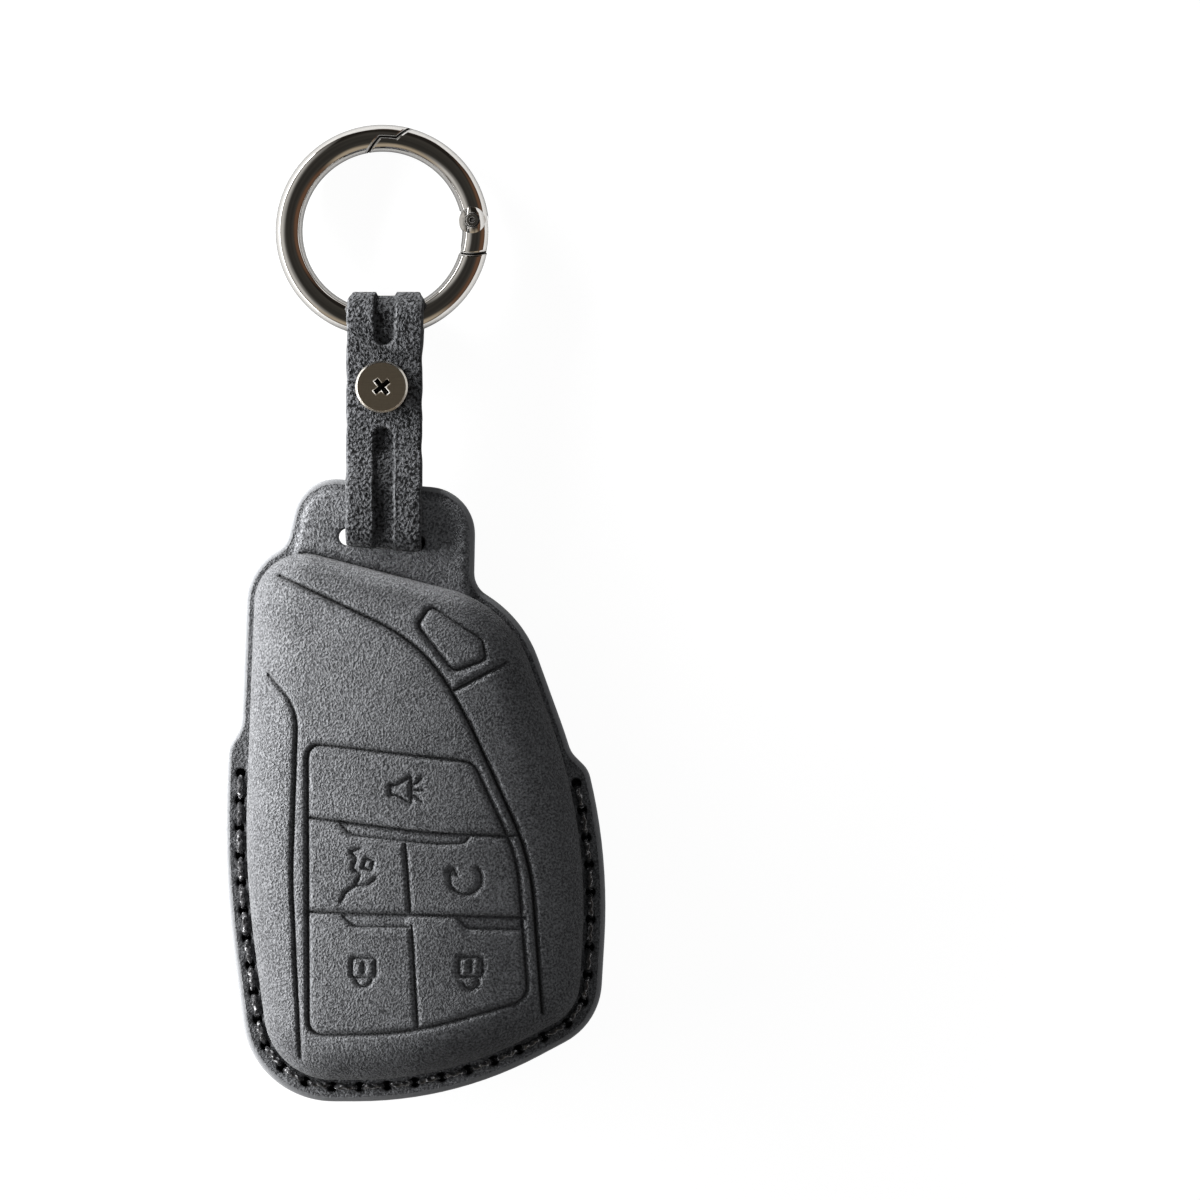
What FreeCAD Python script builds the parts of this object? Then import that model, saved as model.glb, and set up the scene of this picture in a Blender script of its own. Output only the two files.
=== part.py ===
"""Key fob cover: two moulded leather panels sewn round a pocket, a strap through the tab and a spring gate ring."""

import math
import os

import FreeCAD
import Part
import Sketcher

Vector = FreeCAD.Vector
UP = Vector(0, 0, 1)

# All sizes in millimetres and degrees. X is across the cover, Y towards the ring, Z out of the front face.
SIZES = {
    # Moulded panels.
    "leather": 1.6,
    "front_depth": 8.0,
    "back_depth": 5.0,
    "front_round": 5.5,
    "back_round": 3.4,
    # Swell of the front dome, with its crest's place and the lean of its long middle line.
    "crown_radius": 131.0,
    "crown_length_radius": 524.0,
    "crown_x": -2.1,
    "crown_y": -4.0,
    "crown_lean": 5.7,
    # Corners of the dome's foot and the radius at each.
    "top_left_x": -25.0,
    "top_left_y": 39.6,
    "top_left_round": 8.0,
    "shoulder_x": 14.9,
    "shoulder_y": 29.2,
    "shoulder_round": 18.0,
    "flank_x": 27.7,
    "flank_y": -6.2,
    "flank_round": 85.0,
    "heel_right_x": 26.0,
    "heel_right_y": -35.1,
    "heel_right_round": 7.5,
    "heel_x": 5.3,
    "heel_y": -46.1,
    "heel_round": 58.0,
    "heel_left_x": -22.5,
    "heel_left_y": -46.1,
    "heel_left_round": 11.0,
    "left_side_x": -27.0,
    "left_side_y": -12.5,
    "left_side_round": 150.0,
    # Flat border round the dome: narrow where the mouth opens, wide where it is sewn.
    "rim_width": 1.5,
    "seam_width": 3.45,
    "notch_y": 6.0,
    "notch_slope": 58.0,
    "notch_right_x": 24.6,
    "notch_right_slope": 45.0,
    "notch_round": 4.0,
    "edge_round": 0.7,
    # Tab that carries the strap.
    "tab_left_x": -17.9,
    "tab_left_y": 49.6,
    "tab_left_round": 7.0,
    "tab_right_x": 9.7,
    "tab_right_y": 47.3,
    "tab_right_round": 7.5,
    "tab_root_right_x": 9.3,
    "tab_root_right_y": 26.0,
    "tab_root_right_round": 1.5,
    "tab_root_left_x": -21.6,
    "tab_root_left_y": 34.0,
    "tab_root_left_round": 1.5,
    "tab_rim": 1.4,
    "tab_rise": 0.6,
    "slot_y": 39.5,
    "slot_length": 13.8,
    "slot_height": 2.7,
    "slot_tilt": 5.0,
    # Pressed lines on the front.
    "press_line": 0.8,
    "press_depth": 0.4,
    "field_top_left_x": -16.7,
    "field_top_left_y": 7.4,
    "field_top_left_round": 2.0,
    "field_low_left_x": -16.6,
    "field_low_left_y": -38.7,
    "field_low_left_round": 2.2,
    "field_low_x": -0.7,
    "field_low_y": -38.4,
    "field_low_round": 60.0,
    "field_low_right_x": 18.0,
    "field_low_right_y": -33.1,
    "field_low_right_round": 3.0,
    "field_flank_x": 16.2,
    "field_flank_y": -10.5,
    "field_flank_round": 25.0,
    "field_top_right_x": 9.4,
    "field_top_right_y": 4.4,
    "field_top_right_round": 2.6,
    # Seam.
    "stitch_offset": 1.1,
    "stitch_pitch": 4.3,
    "stitch_left_y": 2.5,
    "stitch_right_y": 0.9,
    "stitch_hole": 1.5,
    "stitch_leg": 1.3,
    "thread": 0.7,
    "thread_bend": 0.45,
    # Strap, measured from its bending line.
    "strap_x": -5.2,
    "strap_width": 12.0,
    "strap_thick": 1.5,
    "strap_lay": 0.04,
    "strap_bend": 4.0,
    "strap_lap": 5.0,
    "tab_clear": 0.25,
    "slot_clear": 0.15,
    "slot_bend": 2.0,
    "flex_y": 56.5,
    "flex_gap": 0.25,
    "droop": 4.2,
    "screw_u": 7.1,
    "ring_u": 32.3,
    "fold_clear": 0.17,
    "groove_width": 3.7,
    "groove_depth": 0.6,
    "lower_groove_end": 1.0,
    "upper_groove_end": 13.9,
    # Strap screw and its post.
    "head": 8.3,
    "head_height": 1.1,
    "head_chamfer": 0.3,
    "barrel": 4.8,
    "barrel_clear": 0.1,
    "shank": 3.3,
    "shank_clear": 0.05,
    "post_floor": 0.6,
    "recess_width": 0.75,
    "recess_length": 2.9,
    "recess_depth": 0.8,
    "recess_turn": 40.0,
    # Spring gate ring, measured from the ring's centre.
    "ring_radius": 14.85,
    "wire": 4.3,
    "pin_inset": 0.55,
    "pin_y": 1.5,
    "pin": 1.5,
    "pin_clear": 0.05,
    "pin_head": 2.1,
    "pin_head_height": 0.4,
    "pin_length": 3.8,
    "pin_dimple": 0.9,
    "boss": 4.2,
    "boss_height": 3.0,
    "gate_gap": 0.16,
    "tail_reach": 5.4,
    "lip_share": 1.199,
    "nose_share": 1.333,
    "lap_inset": 0.1,
    "tongue_thick": 1.4,
    "tongue_width": 3.6,
    "tongue_top": 1.4,
    "fork_slot": 1.7,
    "fork_reach": 2.6,
    "plunger": 1.2,
    "plunger_offset": 0.6,
    "plunger_length": 2.3,
    "plunger_gap": 0.03,
    "bore": 1.3,
    "bore_end": 6.4,
    "spring_wire": 0.2,
    "spring_outside": 1.1,
    "spring_turns": 5.0,
}

doc = FreeCAD.newDocument("KeyFobCover")
sheet = doc.addObject("Spreadsheet::Sheet", "Sizes")
for row, (alias, value) in enumerate(SIZES.items(), start=1):
    sheet.set(f"A{row}", alias)
    sheet.set(f"B{row}", str(value))
    sheet.setAlias(f"B{row}", alias)
doc.recompute()


def size(alias):
    """Read one driving dimension from the sheet."""
    return float(sheet.get(alias))


def bind(thing, **cells):
    """Bind properties of a document object to expressions over the sheet."""
    for prop, expression in cells.items():
        thing.setExpression(prop, expression)
    return thing


def add(kind, name, **cells):
    """Add a document object and bind its sizes."""
    return bind(doc.addObject(kind, name), **cells)


def at(x, y, z, turn=None):
    """Placement at a point, turned if a rotation is given."""
    return FreeCAD.Placement(Vector(x, y, z), turn or FreeCAD.Rotation())


def cut(name, base, *tools):
    """Take tools away from a base."""
    tool = tools[0]
    if len(tools) > 1:
        tool = join(f"{name}_tools", *tools)
    result = doc.addObject("Part::Cut", name)
    result.Base = base
    result.Tool = tool
    result.Refine = True
    return result


def join(name, *parts):
    """Fuse several objects."""
    result = doc.addObject("Part::MultiFuse", name)
    result.Shapes = list(parts)
    result.Refine = True
    return result


def overlap(name, *parts):
    """Keep what several objects share."""
    result = doc.addObject("Part::MultiCommon", name)
    result.Shapes = list(parts)
    return result


def extrude(name, base, length, direction=UP):
    """Solid extrusion of a flat object."""
    result = add("Part::Extrusion", name, LengthFwd=length)
    result.Base = base
    result.DirMode = "Custom"
    result.Dir = direction
    result.Solid = True
    return result


def offset(name, source, distance):
    """Outline grown or shrunk by a distance, with round corners."""
    result = add("Part::Offset2D", name, Value=distance)
    result.Source = source
    result.Join = "Arc"
    return result


def cylinder(name, radius, height, place):
    """Upright cylinder centred on its place."""
    result = add("Part::Cylinder", name, Radius=radius, Height=height)
    doc.recompute()
    half = Vector(0, 0, -result.Height.Value / 2)
    result.Placement = place.multiply(FreeCAD.Placement(half, FreeCAD.Rotation()))
    return result


def block(name, length, width, height, place):
    """Box centred on its place."""
    result = add("Part::Box", name, Length=length, Width=width, Height=height)
    doc.recompute()
    half = Vector(result.Length.Value, result.Width.Value, result.Height.Value) * -0.5
    result.Placement = place.multiply(FreeCAD.Placement(half, FreeCAD.Rotation()))
    return result


def flat(name, shape):
    """Flat profile computed from the sheet, as an object that other features use."""
    result = doc.addObject("Part::Feature", name)
    result.Shape = shape
    return result


def round_edges(name, base, radius, chosen):
    """Fillet the edges that the test picks."""
    doc.recompute()
    edges = []
    for number, edge in enumerate(base.Shape.Edges, start=1):
        if chosen(edge):
            edges.append((number, radius, radius))
    result = doc.addObject("Part::Fillet", name)
    result.Base = base
    result.Edges = edges
    doc.recompute()
    return result


def rounded_outline(name, corners):
    """Closed sketch of straight and round stretches, with every corner and radius bound to the sheet."""
    sketch = doc.addObject("Sketcher::SketchObject", name)
    points = [Vector(size(f"{corner}_x"), size(f"{corner}_y"), 0) for corner in corners]
    radii = [size(f"{corner}_round") for corner in corners]
    count = len(corners)
    arcs = []
    starts = []
    ends = []
    for index in range(count):
        point = points[index]
        back = (points[index - 1] - point).normalize()
        ahead = (points[(index + 1) % count] - point).normalize()
        half = back.getAngle(ahead) / 2
        reach = radii[index] / math.tan(half)
        centre = point + (back + ahead).normalize() * (radii[index] / math.sin(half))
        starts.append(point + back * reach)
        ends.append(point + ahead * reach)
        first = math.atan2(starts[index].y - centre.y, starts[index].x - centre.x)
        last = math.atan2(ends[index].y - centre.y, ends[index].x - centre.x)
        arcs.append(Part.ArcOfCircle(Part.Circle(centre, UP, radii[index]), first, last))
    lines = [sketch.addGeometry(Part.LineSegment(ends[i - 1], starts[i]), False) for i in range(count)]
    rounds = [sketch.addGeometry(arc, False) for arc in arcs]
    marks = [sketch.addGeometry(Part.Point(point), True) for point in points]
    for index, corner in enumerate(corners):
        after = lines[(index + 1) % count]
        sketch.addConstraint(Sketcher.Constraint("Tangent", lines[index], 2, rounds[index], 1))
        sketch.addConstraint(Sketcher.Constraint("Tangent", after, 1, rounds[index], 2))
        sketch.addConstraint(Sketcher.Constraint("PointOnObject", marks[index], 1, lines[index]))
        sketch.addConstraint(Sketcher.Constraint("PointOnObject", marks[index], 1, after))
        point = points[index]
        across = sketch.addConstraint(Sketcher.Constraint("DistanceX", -1, 1, marks[index], 1, point.x))
        along = sketch.addConstraint(Sketcher.Constraint("DistanceY", -1, 1, marks[index], 1, point.y))
        bend = sketch.addConstraint(Sketcher.Constraint("Radius", rounds[index], radii[index]))
        sketch.setExpression(f"Constraints[{across}]", f"Sizes.{corner}_x")
        sketch.setExpression(f"Constraints[{along}]", f"Sizes.{corner}_y")
        sketch.setExpression(f"Constraints[{bend}]", f"Sizes.{corner}_round")
    doc.recompute()
    return sketch


def bent_line(points, distance=0.0):
    """Edges of a line through (x, y, bend radius) points, shifted to its left by a distance."""
    spots = [Vector(x, y, 0) for x, y, _ in points]
    edges = []
    ahead = (spots[1] - spots[0]).normalize()
    pen = spots[0] + Vector(-ahead.y, ahead.x, 0) * distance
    for index in range(1, len(points) - 1):
        bend = points[index][2]
        ahead = (spots[index] - spots[index - 1]).normalize()
        onward = (spots[index + 1] - spots[index]).normalize()
        side = math.copysign(1, ahead.cross(onward).z)
        back = ahead * (bend * math.tan(ahead.getAngle(onward) / 2))
        centre = spots[index] - back + Vector(-ahead.y, ahead.x, 0) * (bend * side)
        radius = bend - side * distance
        start = centre - Vector(-ahead.y, ahead.x, 0) * (radius * side)
        middle = centre + (spots[index] - centre).normalize() * radius
        end = centre - Vector(-onward.y, onward.x, 0) * (radius * side)
        if (start - pen).Length > 1e-4:
            edges.append(Part.LineSegment(pen, start).toShape())
        edges.append(Part.Arc(start, middle, end).toShape())
        pen = end
    ahead = (spots[-1] - spots[-2]).normalize()
    last = spots[-1] + Vector(-ahead.y, ahead.x, 0) * distance
    edges.append(Part.LineSegment(pen, last).toShape())
    return edges


def bent_strip(points, inner, outer):
    """Flat face of a strip bent along a line, between two distances to the line's left."""
    left = bent_line(points, outer)
    right = bent_line(points, inner)
    caps = [
        Part.LineSegment(left[0].Vertexes[0].Point, right[0].Vertexes[0].Point).toShape(),
        Part.LineSegment(left[-1].Vertexes[-1].Point, right[-1].Vertexes[-1].Point).toShape(),
    ]
    return Part.Face(Part.Wire(Part.__sortEdges__(left + right + caps)))


def obround(start, end, radius):
    """Flat face of a slot with round ends about two points."""
    along = (end - start).normalize()
    side = Vector(-along.y, along.x, 0) * radius
    edges = [
        Part.LineSegment(start - side, end - side).toShape(),
        Part.Arc(end - side, end + along * radius, end + side).toShape(),
        Part.LineSegment(end + side, start + side).toShape(),
        Part.Arc(start + side, start - along * radius, start - side).toShape(),
    ]
    return Part.Face(Part.Wire(edges))


def tube(path, diameter):
    """Round tube along a smooth wire."""
    start = path.OrderedEdges[0]
    along = start.tangentAt(start.FirstParameter)
    ring = Part.Wire([Part.Circle(path.OrderedVertexes[0].Point, along, diameter / 2).toShape()])
    return Part.Wire(path).makePipeShell([ring], True, False)


leather = size("leather")
parting = leather + size("back_depth")

# Outlines of the panels.
DOME = ("left_side", "heel_left", "heel", "heel_right", "flank", "shoulder", "top_left")
TAB = ("tab_left", "tab_root_left", "tab_root_right", "tab_right")
FIELD = ("field_top_left", "field_low_left", "field_low", "field_low_right", "field_flank", "field_top_right")
dome_outline = rounded_outline("dome_outline", DOME)
tab_outline = rounded_outline("tab_outline", TAB)
rim_outline = offset("rim_outline", dome_outline, "Sizes.rim_width")
seam_outline = offset("seam_outline", dome_outline, "Sizes.seam_width")
pocket_outline = offset("pocket_outline", dome_outline, "-Sizes.leather")
plateau_outline = offset("plateau_outline", tab_outline, "-Sizes.tab_rim")
doc.recompute()

# The sewn border stops at a roof-shaped line, so that the mouth above it can open.
box = seam_outline.Shape.BoundBox
left_slope = math.tan(math.radians(size("notch_slope")))
right_slope = math.tan(math.radians(size("notch_right_slope")))
ridge_x = (left_slope * box.XMin + right_slope * size("notch_right_x")) / (left_slope + right_slope)
ridge = Vector(ridge_x, size("notch_y") + left_slope * (ridge_x - box.XMin), 0)
left_eave = ridge - Vector(box.XLength, left_slope * box.XLength, 0)
right_eave = ridge + Vector(box.XLength, -right_slope * box.XLength, 0)
below = Vector(0, -box.YLength, 0)
roof_points = [ridge, left_eave, left_eave + below, right_eave + below, right_eave, ridge]
roof_outline = flat("roof_outline", Part.makePolygon(roof_points))

# Flat border with the tab, lying on the parting plane.
rim_plate = extrude("rim_plate", rim_outline, "Sizes.leather")
seam_plate = extrude("seam_plate", seam_outline, "Sizes.leather")
roof_plate = extrude("roof_plate", roof_outline, "Sizes.leather")
tab_plate = extrude("tab_plate", tab_outline, "Sizes.leather")
sewn_plate = overlap("sewn_plate", seam_plate, roof_plate)
sharp_border = join("sharp_border", rim_plate, sewn_plate, tab_plate)
doc.recompute()


def is_sharp_upright(edge):
    """True for an upright edge where two faces of the border meet at an angle."""
    if len(edge.Vertexes) != 2 or abs(edge.tangentAt(edge.FirstParameter).z) < 0.99:
        return False
    faces = sharp_border.Shape.ancestorsOfType(edge, Part.Face)
    middle = edge.valueAt((edge.FirstParameter + edge.LastParameter) / 2)
    normals = [face.normalAt(*face.Surface.parameter(middle)) for face in faces]
    return normals[0].getAngle(normals[1]) > math.radians(8)


soft_border = round_edges("soft_border", sharp_border, size("notch_round"), is_sharp_upright)
border = round_edges(
    "border",
    soft_border,
    size("edge_round"),
    lambda edge: abs(edge.BoundBox.ZMin - leather) < 1e-6 and abs(edge.BoundBox.ZMax - leather) < 1e-6,
)
plateau = extrude("plateau", plateau_outline, "Sizes.leather + Sizes.tab_rise")

# Slot and stitch holes through the border.
slot_reach = (size("slot_length") - size("slot_height")) / 2
slot_ends = (Vector(-slot_reach, 0, 0), Vector(slot_reach, 0, 0))
slot_profile = flat("slot_profile", obround(*slot_ends, size("slot_height") / 2))
slot_profile.Placement = at(size("strap_x"), size("slot_y"), 0, FreeCAD.Rotation(UP, -size("slot_tilt")))
slot_tool = extrude("slot_tool", slot_profile, "2 * (Sizes.leather + Sizes.tab_rise)")

seam_line = dome_outline.Shape.Wires[0].makeOffset2D(size("stitch_offset"))
fine = seam_line.discretize(Distance=0.05)
left_end = min((p for p in fine if p.x < 0), key=lambda p: abs(p.y - size("stitch_left_y")))
right_end = min((p for p in fine if p.x > 0), key=lambda p: abs(p.y - size("stitch_right_y")))
first = min(range(len(fine)), key=lambda i: (fine[i] - left_end).Length)
fine = fine[first:-1] + fine[:first]
if fine[len(fine) // 4].y > 0:
    fine = [fine[0]] + fine[:0:-1]
last = min(range(len(fine)), key=lambda i: (fine[i] - right_end).Length)
seam = fine[: last + 1]
stitches = round(0.05 * last / size("stitch_pitch"))
holes = [seam[round(last * index / stitches)] for index in range(stitches + 1)]
hole_shapes = [Part.makeCylinder(size("stitch_hole") / 2, 2 * leather, spot - UP * 0.5 * leather) for spot in holes]
hole_tool = flat("hole_tool", Part.makeCompound(hole_shapes))


def crown_mould(name, crest):
    """Block with a top that swells across and along the dome, with its crest at a height over the parting plane."""
    across = size("crown_radius")
    along = size("crown_length_radius")
    reach = 0.6 * dome_outline.Shape.BoundBox.DiagonalLength
    eaves = math.sqrt(across**2 - reach**2) - across
    foot = eaves - 2 * crest
    edges = [
        Part.Arc(Vector(-reach, 0, eaves), Vector(0, 0, 0), Vector(reach, 0, eaves)).toShape(),
        Part.LineSegment(Vector(reach, 0, eaves), Vector(reach, 0, foot)).toShape(),
        Part.LineSegment(Vector(reach, 0, foot), Vector(-reach, 0, foot)).toShape(),
        Part.LineSegment(Vector(-reach, 0, foot), Vector(-reach, 0, eaves)).toShape(),
    ]
    profile = Part.Face(Part.Wire(edges))
    axle = Vector(0, 0, -along)
    turn = math.degrees(reach / along)
    profile.rotate(axle, Vector(1, 0, 0), -turn)
    mould = flat(name, profile.revolve(axle, Vector(1, 0, 0), 2 * turn))
    mould.Placement = at(size("crown_x"), size("crown_y"), crest, FreeCAD.Rotation(UP, size("crown_lean")))
    return mould


def make_panel(name, depth, rounding, crowned):
    """Border, tab and dome of one panel, standing up from the parting plane, with its pocket hollowed out."""
    dome = extrude(f"{name}_dome", dome_outline, f"Sizes.{depth} + Sizes.leather")
    pocket = extrude(f"{name}_pocket", pocket_outline, f"Sizes.{depth}")
    if crowned:
        dome = overlap(f"{name}_swell", dome, crown_mould(f"{name}_mould", size(depth) + leather))
        pocket = overlap(f"{name}_hollow", pocket, crown_mould(f"{name}_core", size(depth)))
    outside = round_edges(f"{name}_outside", dome, size(rounding), lambda edge: edge.BoundBox.ZMin > leather)
    inside = round_edges(f"{name}_inside", pocket, size(rounding) - leather, lambda edge: edge.BoundBox.ZMin > leather)
    blank = join(f"{name}_blank", border, plateau, outside)
    return cut(f"{name}_panel", blank, inside, slot_tool, hole_tool)


def pressed_line(number, points):
    """Upright tool along one pressed line."""
    half = size("press_line") / 2
    strip = flat(f"press_strip_{number}", bent_strip(points, -half, half))
    return extrude(f"press_{number}", strip, "Sizes.front_depth + Sizes.leather")


front_raw = make_panel("front", "front_depth", "front_round", True)
back_raw = make_panel("back", "back_depth", "back_round", False)
doc.recompute()

# Lines pressed into the front: the two long sweeps, the short spur, and the button field with its divisions.
PRESSED = (
    ((-21.2, 33.8, 0), (2.2, 22.6, 12), (8.8, 10.6, 60), (18.4, -10.8, 40), (20.2, -35.2, 0)),
    ((-22.9, 18.2, 0), (-18.3, 12.9, 9), (-19.2, -14.0, 100), (-17.9, -42.3, 0)),
    ((6.3, 15.7, 0), (14.5, 20.1, 0)),
    ((-16.7, -4.3, 0), (2.0, -6.7, 60), (15.6, -7.3, 0)),
    ((-16.9, -19.2, 0), (17.6, -20.1, 0)),
    ((-1.3, -8.4, 0), (0.6, -37.5, 0)),
)
press_tools = [pressed_line(number, points) for number, points in enumerate(PRESSED, start=1)]
field_line = rounded_outline("field_line", FIELD)
field_rims = []
for rim, side in (("field_outer", ""), ("field_inner", "-")):
    line = offset(rim, field_line, f"{side}Sizes.press_line / 2")
    field_rims.append(extrude(f"{rim}_block", line, "Sizes.front_depth + Sizes.leather"))
press_tools.append(cut("press_field", *field_rims))
press_floor = crown_mould("press_floor", size("front_depth") + leather - size("press_depth"))
front_shell = cut("front_shell", front_raw, cut("press_tool", join("press_lines", *press_tools), press_floor))
front_shell.Placement = at(0, 0, parting)
back_shell = doc.addObject("Part::Mirroring", "back_shell")
back_shell.Source = back_raw
back_shell.Normal = UP
back_shell.Base = Vector(0, 0, 0)
back_shell.Placement = at(0, 0, parting)


def make_stitch(start, end):
    """One run of thread on the flange with its two legs in neighbouring holes, standing on the parting plane."""
    along = (end - start).normalize()
    radius = size("thread") / 2
    side_step = along * (radius + 0.01)
    near = start + side_step
    far = end - side_step
    bend = size("thread_bend")
    run = UP * (leather + radius + 0.02)
    foot = UP * (leather - size("stitch_leg"))
    corner = bend * (1 - math.sqrt(0.5))
    edges = [
        Part.LineSegment(near + foot, near + run - UP * bend),
        Part.Arc(near + run - UP * bend, near + run + (along - UP) * corner, near + run + along * bend),
        Part.LineSegment(near + run + along * bend, far + run - along * bend),
        Part.Arc(far + run - along * bend, far + run - (along + UP) * corner, far + run - UP * bend),
        Part.LineSegment(far + run - UP * bend, far + foot),
    ]
    return tube(Part.Wire([edge.toShape() for edge in edges]), size("thread"))


front_stitches = flat(
    "front_stitches", Part.makeCompound([make_stitch(a, b) for a, b in zip(holes, holes[1:])])
)
front_stitches.Placement = at(0, 0, parting)
stitch_pattern = flat("stitch_pattern", Part.makeCompound([make_stitch(a, b) for a, b in zip(holes, holes[1:])]))
back_stitches = doc.addObject("Part::Mirroring", "back_stitches")
back_stitches.Source = stitch_pattern
back_stitches.Normal = UP
back_stitches.Base = Vector(0, 0, 0)
back_stitches.Placement = at(0, 0, parting)

# Strap below its bending line: a loop through the slot and round the top of the tab.
thick = size("strap_thick")
layer = thick + size("strap_lay")
tab_half = leather + size("tab_rise")
leg_height = tab_half + size("tab_clear") + thick / 2
turn_y = size("slot_y") - size("slot_height") / 2 + size("slot_clear") + thick / 2
tab_slope = (size("tab_right_y") - size("tab_left_y")) / (size("tab_right_x") - size("tab_left_x"))
tab_edge = size("tab_left_y") + tab_slope * (size("strap_x") - size("tab_left_x"))
cut_y = size("flex_y") - layer - size("flex_gap")
bend = size("strap_bend")
loop_line = [
    (cut_y, layer / 2, 0),
    (cut_y - 1.1, layer / 2, bend),
    (tab_edge - 0.3, leg_height, bend),
    (turn_y, leg_height, size("slot_bend")),
    (turn_y, -leg_height, size("slot_bend")),
    (tab_edge - 0.3, -leg_height, bend),
    (cut_y - 1.1, -layer / 2, bend),
    (cut_y, -layer / 2, 0),
]
# Profiles are drawn with the strap's run as their first axis and its thickness as their second.
SIDE = FreeCAD.Rotation(Vector(0, 1, 0), UP, Vector(1, 0, 0), "XZY")


def strap_solid(name, face, place, width="Sizes.strap_width", skew=0.0):
    """Extrude a strap profile across the strap, centred on its middle."""
    profile = flat(f"{name}_profile", face)
    profile.Placement = place.multiply(FreeCAD.Placement(Vector(), SIDE))
    solid = extrude(name, profile, width, Vector(1, -math.tan(math.radians(skew)), 0))
    solid.Symmetric = True
    solid.LengthFwd = 1
    bind(solid, LengthFwd=f"{width} / cos({skew} deg)")
    return solid


def groove_mask(name, start, end, place):
    """Obround column over the strap that keeps a groove between two points along it."""
    radius = size("groove_width") / 2
    face = obround(Vector(0, start + radius, 0), Vector(0, end - radius, 0), radius)
    profile = flat(f"{name}_profile", face)
    profile.Placement = place.multiply(at(0, 0, -10))
    return extrude(name, profile, "20")


loop_place = at(size("strap_x"), 0, parting)
loop_whole = strap_solid("loop_whole", bent_strip(loop_line, -thick / 2, thick / 2), loop_place, skew=size("slot_tilt"))
loop_band = strap_solid(
    "loop_band",
    bent_strip(loop_line, -thick / 2 - 0.2, -thick / 2 + size("groove_depth")),
    loop_place,
    "Sizes.groove_width",
    size("slot_tilt"),
)
groove_top = size("flex_y") + size("lower_groove_end")
loop_mask = groove_mask("loop_mask", size("slot_y") - 8, groove_top, loop_place)
loop_groove = overlap("loop_groove", loop_band, loop_mask)
loop_room = block(
    "loop_room", "2 * Sizes.strap_width", "40", "40", at(size("strap_x"), cut_y - 20, parting)
)
loop_grooved = cut("loop_grooved", loop_whole, loop_groove)
strap_slot_loop = overlap("strap_slot_loop", loop_grooved, loop_room)

# Strap above its bending line, in its own frame: it droops from the bending line towards the ring.
hanger = at(size("strap_x"), size("flex_y"), parting, FreeCAD.Rotation(Vector(1, 0, 0), -size("droop")))
ring_radius = size("ring_radius")
wire = size("wire")
half_width = size("strap_width") / 2
half_sag = (ring_radius - math.sqrt(ring_radius**2 - half_width**2)) / 2
fold_u = size("ring_u") - ring_radius + half_sag
fold_w = -layer / 2
fold_radius = wire / 2 + half_sag + size("fold_clear") + thick / 2
knee_u = size("screw_u") + size("head") / 2 + 0.5
reach = math.hypot(fold_u - knee_u, layer)
lean = math.asin(fold_radius / reach) - math.atan2(layer, fold_u - knee_u)
crest_u = fold_u + fold_radius
crest_w = layer + math.tan(lean) * (crest_u - knee_u)
fold_line = [
    (0, layer / 2, 0),
    (knee_u, layer / 2, bend),
    (crest_u, fold_w + crest_w, fold_radius),
    (crest_u, fold_w - crest_w, fold_radius),
    (knee_u, -1.5 * layer, bend),
    (size("screw_u") - size("strap_lap"), -1.5 * layer, 0),
]
fold_whole = strap_solid("fold_whole", bent_strip(fold_line, -thick / 2, thick / 2), hanger)
fold_band = strap_solid(
    "fold_band",
    bent_strip(fold_line, thick / 2 - size("groove_depth"), thick / 2 + 0.2),
    hanger,
    "Sizes.groove_width",
)
upper_mask = groove_mask("upper_mask", size("upper_groove_end"), crest_u + 10, hanger)
lower_mask = groove_mask("lower_mask", -10, size("lower_groove_end"), hanger)
fold_masks = join("fold_masks", upper_mask, lower_mask)
fold_groove = overlap("fold_groove", fold_band, fold_masks)
lap_face = bent_strip(
    [(0, -layer / 2, 0), (size("screw_u") + size("strap_lap"), -layer / 2, 0)], -thick / 2, thick / 2
)
lap = strap_solid("lap", lap_face, hanger)
knuckle_faces = []
for side in (-1, 1):
    low = Vector(0, side * size("strap_lay") / 2, 0)
    high = Vector(0, side * (layer - size("strap_lay") / 2), 0)
    tip = Vector(-math.sqrt(high.y**2 - low.y**2), low.y, 0)
    mid = Vector(-abs(high.y) * math.cos(math.pi / 4), side * abs(high.y) * math.sin(math.pi / 4), 0)
    edges = [
        Part.LineSegment(low, high).toShape(),
        Part.Arc(high, mid, tip).toShape(),
        Part.LineSegment(tip, low).toShape(),
    ]
    knuckle_faces.append(Part.Face(Part.Wire(edges)))
back_knuckle = strap_solid("back_knuckle", knuckle_faces[0], hanger)
front_knuckle = strap_solid("front_knuckle", knuckle_faces[1], hanger)
front_strip = cut("front_strip", join("front_run", fold_whole, front_knuckle), fold_groove)
back_strip = join("back_strip", lap, back_knuckle)
layers = doc.addObject("Part::Compound", "strap_layers")
layers.Links = [front_strip, back_strip]
screw_place = hanger.multiply(at(0, size("screw_u"), 0))
screw_hole = cylinder("screw_hole", "Sizes.barrel / 2 + Sizes.barrel_clear", "30", screw_place)
strap_ring_loop = cut("strap_ring_loop", layers, screw_hole)

# Strap screw and post.
stack_top = layer - size("strap_lay") / 2
stack_bottom = stack_top - 3 * thick - 2 * size("strap_lay")


def turned(name, outline, place):
    """Solid of revolution of a (radius, height) outline about the upright axis."""
    points = [Vector(radius, 0, height) for radius, height in outline]
    profile = flat(f"{name}_profile", Part.Face(Part.makePolygon(points + points[:1])))
    result = doc.addObject("Part::Revolution", name)
    result.Source = profile
    result.Axis = UP
    result.Base = Vector(0, 0, 0)
    result.Angle = 360
    result.Solid = True
    result.Placement = place
    return result


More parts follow.
